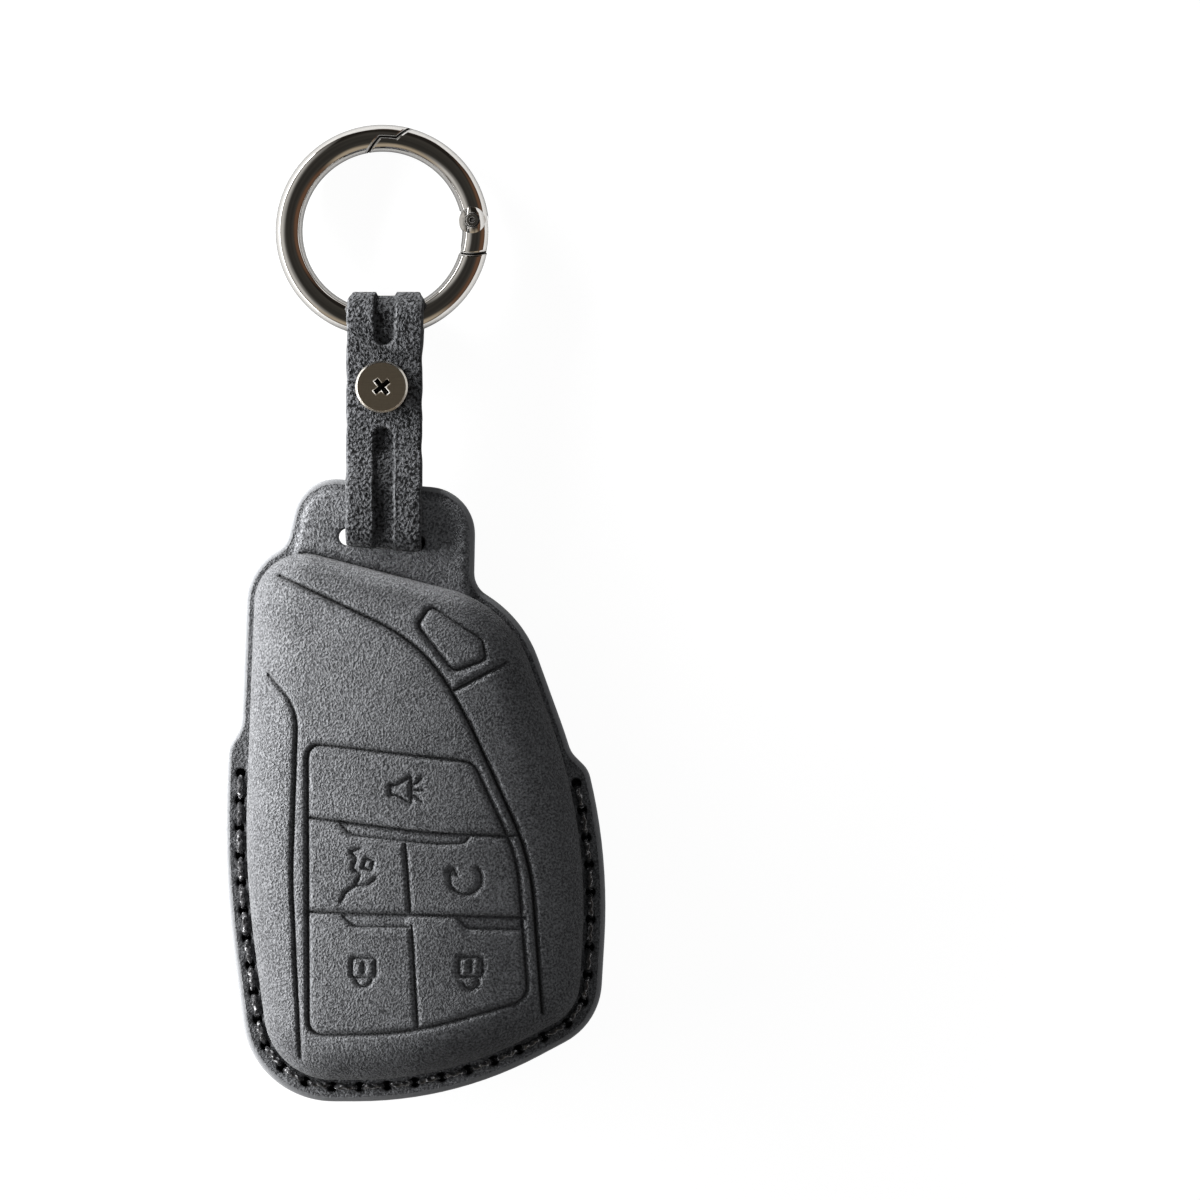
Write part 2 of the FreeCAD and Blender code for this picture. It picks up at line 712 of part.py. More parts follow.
head = size("head") / 2
chamfer = size("head_chamfer")
head_top = stack_top + size("head_height")
post_bottom = stack_bottom - size("head_height")
shank = size("shank") / 2
shank_end = stack_bottom + size("post_floor") + 0.2
screw_outline = [
    (0, shank_end),
    (shank, shank_end),
    (shank, stack_top),
    (head, stack_top),
    (head, head_top - chamfer),
    (head - chamfer, head_top),
    (0, head_top),
]
screw_blank = turned("screw_blank", screw_outline, screw_place)
cross_place = screw_place.multiply(at(0, 0, head_top, FreeCAD.Rotation(UP, size("recess_turn"))))
cross_a = block("cross_a", "Sizes.recess_length", "Sizes.recess_width", "2 * Sizes.recess_depth", cross_place)
cross_b = block("cross_b", "Sizes.recess_width", "Sizes.recess_length", "2 * Sizes.recess_depth", cross_place)
cap_screw = cut("cap_screw", screw_blank, cross_a, cross_b)

barrel = size("barrel") / 2
barrel_top = stack_top - 0.2
bore_radius = shank + size("shank_clear")
post_outline = [
    (0, post_bottom),
    (head - chamfer, post_bottom),
    (head, post_bottom + chamfer),
    (head, stack_bottom),
    (barrel, stack_bottom),
    (barrel, barrel_top),
    (bore_radius, barrel_top),
    (bore_radius, stack_bottom + size("post_floor")),
    (0, stack_bottom + size("post_floor")),
]
screw_post = turned("screw_post", post_outline, screw_place)

# Spring gate ring, built in its own plane and hung in the strap's fold.
ring_place = hanger.multiply(at(0, size("ring_u"), fold_w))
pin_place = ring_place.multiply(at(ring_radius - size("pin_inset"), size("pin_y"), 0))


def ring_wire(name):
    """Full circle of the ring's wire."""
    torus = add("Part::Torus", name, Radius1="Sizes.ring_radius", Radius2="Sizes.wire / 2")
    torus.Placement = ring_place
    return torus


def gate_zone(name, gap):
    """Space of the gate: round the pin at the tail, and up to the lapped nose, widened by a gap."""
    tail = cylinder(f"{name}_tail", f"Sizes.tail_reach + {gap}", "8", pin_place)
    lip = cylinder(f"{name}_lip", f"Sizes.ring_radius * Sizes.lip_share + {gap}", "8", pin_place)
    nose = cylinder(f"{name}_nose", f"Sizes.ring_radius * Sizes.nose_share + {gap}", "8", pin_place)
    inner = cylinder(f"{name}_inner", f"Sizes.ring_radius - Sizes.lap_inset + {gap}", "8", ring_place)
    above = block(f"{name}_above", "60", "30", "10", pin_place.multiply(at(0, 15, 0)))
    lapped = overlap(f"{name}_lapped", nose, inner, above)
    plain = overlap(f"{name}_plain", lip, above)
    return join(name, tail, plain, lapped)


pin_hole = cylinder("pin_hole", "Sizes.pin / 2 + Sizes.pin_clear", "8", pin_place)
gate_side = gate_zone("gate_side", "0")
body_cut = gate_zone("body_cut", "Sizes.gate_gap")
tongue_low = size("tail_reach") + 3
tongue_box = block(
    "tongue_box",
    "Sizes.tongue_width",
    f"Sizes.tongue_top + {tongue_low}",
    "Sizes.tongue_thick",
    pin_place.multiply(at(0, (size("tongue_top") - tongue_low) / 2, 0)),
)
tongue = overlap("tongue", ring_wire("tongue_wire"), tongue_box)
open_ring = cut("open_ring", ring_wire("body_wire"), body_cut)
ring_body = cut("ring_body", join("ring_tongued", open_ring, tongue), pin_hole)

boss = cylinder("boss", "Sizes.boss / 2", "Sizes.boss_height", pin_place)
gate_solid = join("gate_solid", overlap("gate_wire", ring_wire("gate_ring"), gate_side), boss)
fork_round = cylinder("fork_round", "Sizes.fork_reach", "Sizes.fork_slot", pin_place)
fork_tail = block("fork_tail", "12", "10", "Sizes.fork_slot", pin_place.multiply(at(0, -5, 0)))
spring_x = -size("plunger_offset")
along_y = FreeCAD.Rotation(Vector(1, 0, 0), -90)
bore_place = pin_place.multiply(at(spring_x, size("bore_end") / 2, 0, along_y))
bore = cylinder("bore", "Sizes.bore / 2", "Sizes.bore_end", bore_place)
pin_seat = cylinder("pin_seat", "Sizes.pin / 2", "8", pin_place)
ring_gate = cut("ring_gate", gate_solid, fork_round, fork_tail, bore, pin_seat)

pin_half = size("pin_length") / 2
pin_top = pin_half + size("pin_head_height")
dimple = size("pin_dimple") / 2
pin_outline = [
    (0, -pin_top + 0.15),
    (dimple, -pin_top),
    (size("pin_head") / 2 - 0.12, -pin_top),
    (size("pin_head") / 2, -pin_half),
    (size("pin") / 2, -pin_half),
    (size("pin") / 2, pin_half),
    (size("pin_head") / 2, pin_half),
    (size("pin_head") / 2 - 0.12, pin_top),
    (dimple, pin_top),
    (0, pin_top - 0.15),
]
gate_pin = turned("gate_pin", pin_outline, pin_place)

# Plunger on the tongue's flat top, and the coil behind it.
plunger_radius = size("plunger") / 2
plunger_low = size("tongue_top") + size("plunger_gap")
plunger_high = plunger_low + size("plunger_length")
plunger_place = pin_place.multiply(at(spring_x, plunger_low + plunger_radius, 0, along_y))
plunger_ball = add("Part::Sphere", "plunger_ball", Radius="Sizes.plunger / 2")
plunger_ball.Placement = plunger_place
stem_length = size("plunger_length") - plunger_radius
stem_place = pin_place.multiply(at(spring_x, plunger_high - stem_length / 2, 0, along_y))
plunger_stem = cylinder("plunger_stem", "Sizes.plunger / 2", "Sizes.plunger_length - Sizes.plunger / 2", stem_place)
spring_plunger = join("spring_plunger", plunger_ball, plunger_stem)

spring_radius = (size("spring_outside") - size("spring_wire")) / 2
spring_low = plunger_high + size("spring_wire") / 2 + 0.02
spring_high = size("bore_end") - size("spring_wire") / 2 - 0.02
coil_line = add("Part::Helix", "coil_line")
coil_line.Pitch = (spring_high - spring_low) / size("spring_turns")
coil_line.Height = spring_high - spring_low
coil_line.Radius = spring_radius
doc.recompute()
coil_start = coil_line.Shape.Edges[0]
coil_circle = Part.Circle(
    Vector(spring_radius, 0, 0), coil_start.tangentAt(coil_start.FirstParameter), size("spring_wire") / 2
)
coil_section = flat("coil_section", Part.Wire([coil_circle.toShape()]))
gate_spring = doc.addObject("Part::Sweep", "gate_spring")
gate_spring.Sections = [coil_section]
gate_spring.Spine = (coil_line, ["Edge1"])
gate_spring.Solid = True
gate_spring.Frenet = True
gate_spring.Placement = pin_place.multiply(at(spring_x, spring_low, 0, along_y))

doc.recompute()

NODES = (
    front_shell,
    back_shell,
    front_stitches,
    back_stitches,
    strap_slot_loop,
    strap_ring_loop,
    cap_screw,
    screw_post,
    ring_body,
    ring_gate,
    gate_pin,
    gate_spring,
    spring_plunger,
)

for thing in doc.Objects:
    bad = [state for state in thing.State if state in ("Invalid", "Error")]
    if bad:
        raise RuntimeError(f"{thing.Name} is {bad}")

os.makedirs("parts", exist_ok=True)
for node in NODES:
    shape = node.Shape
    if shape.isNull() or not shape.isValid() or not shape.Solids:
        raise RuntimeError(f"{node.Name} is not a valid solid")
    shape.exportStep(os.path.join("parts", f"{node.Name}.step"))
    limits = shape.BoundBox
    print(
        f"{node.Name}: {len(shape.Solids)} solids, {shape.Volume:.1f} mm3, "
        f"x {limits.XMin:.2f} {limits.XMax:.2f}, y {limits.YMin:.2f} {limits.YMax:.2f}, "
        f"z {limits.ZMin:.2f} {limits.ZMax:.2f}"
    )
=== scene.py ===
"""Looks of the key fob cover: suede panels, waxed stitches, a bent strap and plated metal."""

import math

import bmesh
import bpy
import numpy as np
from mathutils import Matrix, Vector
from mathutils.geometry import delaunay_2d_cdt


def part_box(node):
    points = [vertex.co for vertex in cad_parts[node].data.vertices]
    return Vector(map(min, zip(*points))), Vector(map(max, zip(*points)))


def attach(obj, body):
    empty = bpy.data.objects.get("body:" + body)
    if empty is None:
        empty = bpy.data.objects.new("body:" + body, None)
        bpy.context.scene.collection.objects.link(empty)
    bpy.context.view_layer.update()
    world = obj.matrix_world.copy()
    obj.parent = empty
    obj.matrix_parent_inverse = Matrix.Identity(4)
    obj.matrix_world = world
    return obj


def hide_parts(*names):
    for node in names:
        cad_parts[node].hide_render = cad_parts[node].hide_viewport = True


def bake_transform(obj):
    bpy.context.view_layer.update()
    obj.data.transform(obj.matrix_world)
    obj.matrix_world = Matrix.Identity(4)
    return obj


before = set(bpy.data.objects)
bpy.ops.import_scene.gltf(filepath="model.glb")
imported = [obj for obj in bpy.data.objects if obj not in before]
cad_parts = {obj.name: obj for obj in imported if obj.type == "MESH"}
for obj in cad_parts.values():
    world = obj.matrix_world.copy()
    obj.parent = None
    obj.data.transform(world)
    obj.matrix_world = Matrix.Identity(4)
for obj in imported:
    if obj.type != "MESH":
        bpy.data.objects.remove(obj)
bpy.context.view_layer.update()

# Lengths are in millimetres where no comment says metres, and each finished mesh is scaled to metres.
MM = 0.001
# Face plane from the 1200 pixel picture frame: the pixel at its zero point, and the size of one pixel.
PHOTO_ZERO = (414.5, 789.0)
PHOTO_SCALE = 0.1585

# Panels. Corners are X, Y and radius.
LEATHER = 1.6
PARTING = 6.6
FRONT_DEPTH = 8.0
FRONT_SHOULDER = 7.5
BACK_DEPTH = 5.0
BACK_SHOULDER = 4.7
DOME = (
    (-27.0, -12.5, 150.0),
    (-22.5, -46.1, 11.0),
    (5.3, -46.1, 58.0),
    (26.0, -35.1, 7.5),
    (27.7, -6.2, 85.0),
    (14.9, 29.2, 18.0),
    (-25.0, 39.6, 8.0),
)
WALL_POWERS = (2.7, 0.46)
# The front dome falls away from a crest that leans off the Y axis, more across it than along it.
CREST = (-2.1, -4.0)
LEAN = math.radians(5.7)
CREST_FALL = (262.0, 1048.0)
TAB = ((-17.9, 49.6, 7.0), (-21.6, 34.0, 1.5), (10.3, 26.0, 1.5), (10.5, 47.3, 7.5))
TAB_RIM = 1.4
TAB_RISE = 0.6
TAB_SLOPE = 0.9
# Inside the tab's raised middle, the crease and its painted shade come in and the dome wall's painted shade
# goes out over this length.
TAB_NEAR = 1.5
EDGE_ROUND = 0.75
SLOT_LIP = 0.4
PAINT_WIDTH = 0.72
PAINT_FADE = 0.12
HOLE_RADIUS = 0.8
# Heights over the parting plane: the foot of the edge's wall, and the floor of a sewn hole.
EDGE_FOOT = 0.12
PIT_FLOOR = 0.15
# The sewn holes are put in order by their angle round a point this far up.
SEAM_EYE = 30.0
# Dips with their depth and reach: along the seam, round a hole, and in the crease between tab and dome.
SEAM_DIP = (0.16, 0.6)
HOLE_DIP = (0.22, 0.85)
CREASE_DIP = (0.6, 0.24)
# The crease's dark is painted shade; the crease is pressed in by this share of it. It fades out towards this
# X, over this length.
CREASE_SINK = 0.5
CREASE_END = 9.0
CREASE_FADE = 14.0
TRAY_DEPTH = 0.22
TRAY_EDGE = 0.35
# The dark of a pressed line is its own pressed tone with painted shade, wider than the line so that it also
# shades the line's lit wall, and is 1 at this depth. The holes are painted darker still, as their shade.
SHADE_SPREAD = 1.3
TONE_DEPTH = 0.5
HOLE_SHADE = 1.6
# Painted shade on the dome's wall all round, toning down its lit side and deepening its shaded side: its
# dark, how far in it reaches, and its fade.
WALL_SHADE = 0.3
WALL_SHADE_REACH = 6.5
WALL_SHADE_FADE = 5.0
# Painted shade on the flange, over its own darker leather: its edge at the dome's foot and the fade there,
# its lower end in Y and the fade there. Below that end the flange is left lighter, painted as if lit from
# below.
RIM_EDGE = 0.12
RIM_FADE = 0.2
RIM_LOW = -46.0
RIM_LOW_FADE = 7.0

# Steps of the net's lines from the outline, the slot, a hole, the dome's foot, the tab's middle,
# a pressed line, in its half widths, and the pocket's foot.
EDGE_STEPS = (0.0, 0.06, 0.2, 0.42, PAINT_WIDTH, PAINT_WIDTH + PAINT_FADE)
SLOT_STEPS = (0.0, -0.15, -SLOT_LIP)
HOLE_STEPS = (0.0, 0.3)
DOME_STEPS = (0.0, 0.05, 0.14, 0.3, 0.55, 0.9, 1.35, 1.9, 2.6, 3.4, 4.3, 5.3, 6.4, -0.25)
TAB_STEPS = (0.0, 0.4, TAB_SLOPE)
STROKE_STEPS = (-0.9, -0.45, 0.0, 0.45, 0.9)
POCKET_STEPS = (0.0, 0.1, 0.4, 1.0, 2.0, 3.3, 4.7)
# Loose spots of the net: their pitch on plain leather, beside pressed lines and in the pocket, how far
# the close ones reach, and their least distance from those lines and from the outline.
WIDE_PITCH = 1.3
FINE_PITCH = 0.42
POCKET_PITCH = 5.0
FINE_REACH = 1.0
FINE_CLEAR = 0.14
EDGE_CLEAR = 1.4
# Faces whose middle is this close to the cut edge are slivers along a straight stretch of it.
SLIVER = 0.004
# Loops start at their furthest point this way, whatever the order of the mesh.
LOOP_START = np.array((0.3, 1.0))
# Points are compared with lines in lots of this many.
LOT = 4000

# Pressed lines on the front, with half width and depth. Corners are X, Y and radius.
UPPER_SWEEP = ((-21.2, 33.8, 0), (1.7, 23.0, 26), (8.8, 10.6, 60), (18.4, -10.8, 40), (20.2, -35.2, 0))
LEFT_SWEEP = ((-22.9, 18.2, 0), (-18.3, 12.9, 9), (-19.2, -14.0, 100), (-17.9, -42.3, 0))
SPUR = ((6.3, 15.7, 0), (10.0, 17.7, 30), (14.5, 20.1, 0))
FIELD = (
    (-16.7, 7.4, 2.0),
    (-16.6, -38.7, 2.2),
    (-0.7, -38.4, 60.0),
    (18.0, -33.1, 3.0),
    (16.2, -10.5, 25.0),
    (9.4, 4.4, 2.6),
)
TOP_DIVIDER = ((-16.7, -4.3, 0), (2.0, -6.7, 60), (15.6, -7.3, 0))
LOW_DIVIDER = ((-16.9, -19.2), (17.6, -20.1))
UPRIGHTS = (((-1.3, -8.4), (-0.5, -19.6)), ((-0.3, -21.4), (0.6, -37.5)))
FINE_LINE = {"width": 0.22, "depth": 0.42}
SIGN_LINE = {"width": 0.26, "depth": 0.34, "step": 0.3}

# Thread: points round it and along one run, its radius, how far it rises and dives, the length
# of its twist, and how far its two plies stand out.
THREAD_AROUND = 12
THREAD_STEPS = 34
THREAD_RADIUS = 0.42
THREAD_RISE = 0.3
THREAD_DIVE = 1.1
THREAD_TWIST = 3.0
THREAD_PLY = 0.22

# Strap. It bends at FLEX (Y, Z) and hangs from there by DROOP; U runs along it and W out of its face.
STRAP_X = -5.2
STRAP_WIDTH = 12.0
STRAP_THICK = 1.5
STRAP_LAYER = 1.54
STRAP_CORNER = 0.42
STRAP_TILT = math.tan(math.radians(5.0))
FLEX = (56.5, 6.6)
DROOP = math.radians(4.2)
SCREW_U = 7.1
# The strap's channel: half width, the slope of its sides, and where it stops below and above the screw.
GROOVE_HALF = 1.85
GROOVE_SLOPE = 0.42
GROOVE_ENDS = (57.5, 70.4)
FOLD_ROOM = 0.3
# The strap's way: its turn in the slot, the ends of its slope over the tab in Y, its two ends in U, its knee
# past the screw, and its room over the tab and round the ring.
SLOT_TURN = 38.8
STRAP_SLOPE = (48.2, 53.6)
STRAP_ENDS = (12.1, 2.1)
KNEE_STEP = 4.65
TAB_ROOM = 0.25
RING_ROOM = 0.17

# Ring: the gate's pin from the ring's centre, the gate's reach from its pin, and the coil inside it.
RING_RADIUS = 14.85
RING_WIRE = 2.15
RING_U = 32.3
PIN = (14.3, 1.5)
GATE_REACH = (5.48, 17.88, 19.87)
COIL = {"x": -0.6, "low": 3.85, "high": 6.28, "radius": 0.45, "wire": 0.1, "turns": 5}
# Screw: length and width of the cross in its head, and its turn in degrees.
RECESS = (2.9, 0.75, 40.0)

# Lamps, in metres: compass and height angle in degrees, distance, size and power in watts; and their aim.
KEY_LAMP = ((164.0, 9.5), 0.15, (0.34, 0.025), 1.7)
FILL_LAMP = ((-8.0, 16.0), 0.3, (0.2, 0.1), 0.11)
STRIP_LAMP = ((164.0, -0.8), 0.15, (0.34, 0.012), 0.07)
LAMP_AIM = Vector((-0.003, 0.005, 0.012))
# The room that plating shows, by height, and its three side panels by their axis and edge.
ROOM_TONES = (
    (0.0, (1, 1, 1)),
    (0.06, (0.97, 0.96, 0.94)),
    (0.1, (0.1, 0.075, 0.058)),
    (0.2, (0.02, 0.017, 0.014)),
    (0.52, (0.016, 0.014, 0.012)),
    (0.76, (0.05, 0.046, 0.04)),
    (1.0, (0.03, 0.028, 0.025)),
)
ROOM_PANELS = (
    ("X", (-0.35, -0.7), (0.6, 0.585, 0.56)),
    ("Y", (-0.5, -0.75), (0.42, 0.35, 0.26)),
    ("X", (0.55, 0.75), (0.14, 0.075, 0.045)),
)
ROOM_FILL = (0.143, 0.144, 0.146)
# Camera, in metres: its height, the height of the cover's face and the width seen there. The sensor is
# in millimetres.
CAMERA_HEIGHT = 1.3
FACE_HEIGHT = 0.008
FACE_WIDTH = 0.1902
SENSOR = 36.0


def hung(x, u, w):
    """Place in the cover's frame from the strap's: across it, along it from its bend, and out of its face."""
    return Vector((
        STRAP_X + x,
        FLEX[0] + u * math.cos(DROOP) + w * math.sin(DROOP),
        FLEX[1] - u * math.sin(DROOP) + w * math.cos(DROOP),
    ))


def at_photo(*spots):
    """Points of the face plane from places in the picture frame."""
    return [((x - PHOTO_ZERO[0]) * PHOTO_SCALE, (PHOTO_ZERO[1] - y) * PHOTO_SCALE) for x, y in spots]


def rounded(corners, closed=True, step=0.7):
    """Evenly spaced points along straight and round stretches, given corners with their radii."""
    spots = [Vector(corner[:2]) for corner in corners]
    count = len(spots)
    chain = []
    for index, corner in enumerate(corners):
        here = spots[index]
        if not closed and index in (0, count - 1):
            chain.append(here)
            continue
        back = (spots[index - 1] - here).normalized()
        ahead = (spots[(index + 1) % count] - here).normalized()
        half = back.angle(ahead) / 2
        centre = here + (back + ahead).normalized() * (corner[2] / math.sin(half))
        start = here + back * (corner[2] / math.tan(half)) - centre
        bend = (math.pi - 2 * half) * math.copysign(1, (-back).cross(ahead))
        pieces = max(4, int(abs(bend) * corner[2] / (0.5 * step)))
        for part in range(pieces + 1):
            turn = bend * part / pieces
            cos, sin = math.cos(turn), math.sin(turn)
            chain.append(centre + Vector((start.x * cos - start.y * sin, start.x * sin + start.y * cos)))
    return spaced(np.array([tuple(spot) for spot in chain]), closed, step)


def spaced(chain, closed=True, step=0.7):
    """The same line with its points at an even distance."""
    line = np.vstack([chain, chain[:1]]) if closed else chain
    lengths = np.hypot(*np.diff(line, axis=0).T)
    along = np.concatenate([[0.0], np.cumsum(lengths)])
    count = max(3, round(along[-1] / step))
    places = np.linspace(0, along[-1], count + 1)
    if closed:
        places = places[:-1]
    return np.column_stack([np.interp(places, along, line[:, 0]), np.interp(places, along, line[:, 1])])


def beside(line, distance, closed=True):
    """The line moved to its left by a distance."""
    if closed:
        run = np.roll(line, -1, axis=0) - np.roll(line, 1, axis=0)
    else:
        run = np.gradient(line, axis=0)
    run = run / np.hypot(*run.T)[:, None]
    return line + np.column_stack([-run[:, 1], run[:, 0]]) * distance


def gap_to(points, line, closed=True):
    """Distance of each point from a line."""
    ends = np.roll(line, -1, axis=0) if closed else line[1:]
    starts = line if closed else line[:-1]
    run = ends - starts
    square = np.maximum((run**2).sum(axis=1), 1e-12)
    result = np.empty(len(points))
    for low in range(0, len(points), LOT):
        offset = points[low:low + LOT, None, :] - starts[None]
        share = np.clip((offset * run[None]).sum(axis=2) / square[None], 0, 1)
        miss = offset - share[..., None] * run[None]
        result[low:low + LOT] = np.sqrt((miss**2).sum(axis=2).min(axis=1))
    return result


def within(points, loop):
    """True for each point inside a closed line."""
    ends = np.roll(loop, -1, axis=0)
    result = np.zeros(len(points), dtype=bool)
    rise = np.where(ends[:, 1] == loop[:, 1], 1e-12, ends[:, 1] - loop[:, 1])
    for low in range(0, len(points), LOT):
        x = points[low:low + LOT, 0, None]
        y = points[low:low + LOT, 1, None]
        spans = (loop[None, :, 1] > y) != (ends[None, :, 1] > y)
        cross = (ends[:, 0] - loop[:, 0])[None] * (y - loop[None, :, 1]) / rise[None] + loop[None, :, 0]
        result[low:low + LOT] = (spans & (x < cross)).sum(axis=1) % 2 == 1
    return result


def depth_in(points, loop):
    """Distance inside a closed line, negative outside."""
    gap = gap_to(points, loop)
    return np.where(within(points, loop), gap, -gap)


def hole_gap(points):
    """Distance of each point from the middle of the nearest sewn hole."""
    return np.min([np.hypot(*(points - spot).T) for spot in hole_spots], axis=0)


def eased(share):
    """Smooth step from 0 to 1."""
    share = np.clip(share, 0, 1)
    return share * share * (3 - 2 * share)


def soft(share):
    """Smooth step of one number."""
    return float(eased(share))


def dip(gap, depth, reach=1.0):
    """Depth of a soft round dip at a distance from its middle."""
    return depth * np.exp(-((gap / reach) ** 2))


def panel_edges():
    """Closed lines of the front panel's flat face on the parting plane, longest first."""
    bm = bmesh.new()
    bm.from_mesh(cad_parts["front_shell"].data)
    bmesh.ops.remove_doubles(bm, verts=bm.verts, dist=1e-6)
    level = PARTING * MM
    flat = [face for face in bm.faces if all(abs(vert.co.z - level) < 2e-6 for vert in face.verts)]
    known = set(flat)
    links = {}
    for face in flat:
        for edge in face.edges:
            if sum(other in known for other in edge.link_faces) == 1:
                for vert in edge.verts:
                    links.setdefault(vert, []).append(edge.other_vert(vert))
    loops = []
    while links:
        first = next(iter(links))
        chain = [first]
        after = links.pop(first)[0]
        while after in links:
            chain.append(after)
            after = next((vert for vert in links.pop(after) if vert in links), None)
        loops.append(np.array([(vert.co.x / MM, vert.co.y / MM) for vert in chain]))
    bm.free()
    loops.sort(key=lambda loop: -np.hypot(*(loop - np.roll(loop, 1, axis=0)).T).sum())
    return [left_handed(loop) for loop in loops]


def left_handed(loop):
    """The loop with its inside on its left, from its upper right end on."""
    after = np.roll(loop, -1, axis=0)
    area = (loop[:, 0] * after[:, 1] - after[:, 0] * loop[:, 1]).sum()
    loop = loop if area > 0 else loop[::-1]
    return np.roll(loop, -int(np.argmax(loop @ LOOP_START)), axis=0)


# The longest loop is the outline, then come the pocket, the slot and the sewn holes.
edges = panel_edges()
outline = spaced(edges[0], step=0.6)
slot_loop = spaced(edges[2], step=0.5)
hole_spots = np.array([loop.mean(axis=0) for loop in edges[3:]])
hole_spots = hole_spots[np.argsort(np.arctan2(hole_spots[:, 0], SEAM_EYE - hole_spots[:, 1]))]
seam_line = spaced(hole_spots, closed=False, step=0.6)
dome_line = rounded(DOME)
plateau_line = beside(rounded(TAB, step=0.5), TAB_RIM)


def ring_of(centre, radius, count=14):
    """Closed round line."""
    turns = np.arange(count) * 2 * math.pi / count
    return np.array(centre) + radius * np.column_stack([np.cos(turns), np.sin(turns)])


def arc_of(centre, radius, start, end, count):
    """Open round line between two angles in degrees."""
    turns = np.radians(np.linspace(start, end, count))
    return np.array(centre) + radius * np.column_stack([np.cos(turns), np.sin(turns)])


def stroke(points, width=0.3, depth=0.55, closed=False, step=0.45):
    """One pressed line: its points, whether it closes, its half width and its depth."""
    line = np.array(points, dtype=float)
    return spaced(line, closed, step), closed, width, depth


def bent(points, **kind):
    """One pressed line with rounded bends."""
    return stroke(rounded(points, kind.get("closed", False), 0.4), **kind)


# Finger grips under the dividers: each one's lower line from left to right, and its upper line.
TRAYS = (
    at_photo((342, 823), (352, 834), (438, 843), (466, 842), (472, 832)),
    at_photo((344, 914), (354, 925), (410, 925)),
    at_photo((458, 917), (468, 927), (524, 928)),
)
TRAY_TOPS = (
    at_photo((340, 817), (474, 833)),
    at_photo((340, 911), (410, 914)),
    at_photo((456, 915), (525, 917)),
)


def pressed_lines():
    """Sweeps, spur, window and button field on the front."""
    window = at_photo((431, 606), (418, 625), (454, 671), (486, 659), (483, 640))
    lines = [
        bent(UPPER_SWEEP, depth=0.75),
        bent(LEFT_SWEEP, depth=0.5),
        bent(SPUR),
        bent([(*spot, 0.9) for spot in window], closed=True),
        bent(FIELD, closed=True),
        bent(TOP_DIVIDER),
        stroke(LOW_DIVIDER),
    ]
    lines += [stroke(upright, **FINE_LINE) for upright in UPRIGHTS]
    lines += [bent([(*spot, 1.2) for spot in tray], **FINE_LINE) for tray in TRAYS]
    return lines


def pictograms():
    """Plain signs on the buttons: a sounder, a boot lid, a turning arrow and two locks."""
    lines = []
    x, y = at_photo((408, 789))[0]
    sounder = ((-2.6, 0.8), (-1.5, 0.8), (0.7, 2.2), (0.7, -2.2), (-1.5, -0.8), (-2.6, -0.8))
    lines.append(stroke([(x + dx, y + dy) for dx, dy in sounder], closed=True, **SIGN_LINE))
    waves = (((1.5, 0.0), (2.5, 0.0)), ((1.4, 1.0), (2.3, 1.8)), ((1.4, -1.0), (2.3, -1.8)))
    for wave in waves:
        lines.append(stroke([(x + dx, y + dy) for dx, dy in wave], **SIGN_LINE))
    lid = ((343, 899), (347, 891), (357, 884), (362, 873), (354, 867), (358, 857), (352, 850), (362, 847))
    lines.append(stroke(at_photo(*lid), **SIGN_LINE))
    lines.append(stroke(at_photo((357, 884), (370, 883), (377, 877)), **SIGN_LINE))
    glass = at_photo((364, 866), (368, 857), (375, 859), (373, 869))
    lines.append(stroke(glass, closed=True, **SIGN_LINE))
    arrow = arc_of(at_photo((466, 877))[0], 2.5, 140, 400, 30)
    lines.append(stroke(arrow, **SIGN_LINE))
    tip = arrow[0]
    lines.append(stroke([tip + (-0.9, -0.5), tip, tip + (0.5, -0.9)], **SIGN_LINE))
    for spot, lift in (((365, 966), 0.0), ((471, 965), 0.55)):
        x, y = at_photo(spot)[0]
        body = [(x + dx, y + dy, 0.3) for dx, dy in ((-1.85, 1.6), (-1.85, -1.5), (1.85, -1.5), (1.85, 1.6))]
        lines.append(bent(body, closed=True, **SIGN_LINE))
        shackle = arc_of((x, y - 1.7 - lift), 1.25, 180 + 40 * lift, 360, 16)
        lines.append(stroke(shackle, **SIGN_LINE))
        lines.append(stroke([(x, y + 0.7), (x, y - 0.6)], **SIGN_LINE))
    return lines


def lay_net(lines, spots):
    """Triangle net that follows every given line."""
    points = []
    links = []
    for line, closed in lines:
        base = len(points)
        points.extend(Vector((float(x), float(y))) for x, y in line)
        links.extend((base + i, base + i + 1) for i in range(len(line) - 1))
        if closed:
            links.append((base + len(line) - 1, base))
    points.extend(Vector((float(x), float(y))) for x, y in spots)
    verts, _, faces, *_ = delaunay_2d_cdt(points, links, [], 0, 1e-4)
    return np.array([tuple(vert) for vert in verts]), np.array([tuple(face) for face in faces])


def open_faces(points, faces, sewn=True):
    """Faces of a net that lie in the panel, outside its slot and, on the sewn side, its stitch holes."""
    middles = points[faces].mean(axis=1)
    keep = (depth_in(middles, outline) > SLIVER) & (depth_in(middles, slot_loop) < -SLIVER)
    if sewn:
        # The sides of a hole's ring lie a little inside its corners.
        keep &= hole_gap(middles) > 0.97 * HOLE_RADIUS
    return faces[keep]


def loose_spots(strokes):
    """Spots between the laid lines: wide apart on plain leather, close together beside pressed lines."""
    wide = field_of_spots(WIDE_PITCH)
    fine = field_of_spots(FINE_PITCH)
    gap = past_strokes(fine, strokes)
    beside_lines = fine[(gap > FINE_CLEAR) & (gap <= FINE_REACH)]
    return np.vstack([wide[past_strokes(wide, strokes) > FINE_REACH], beside_lines])


def past_strokes(spots, strokes):
    """Distance of each spot from the outermost laid line of the nearest pressed line."""
    result = np.full(len(spots), 9.0)
    for line, closed, width, _ in strokes:
        result = np.minimum(result, gap_to(spots, line, closed) - STROKE_STEPS[-1] * width)
    return result


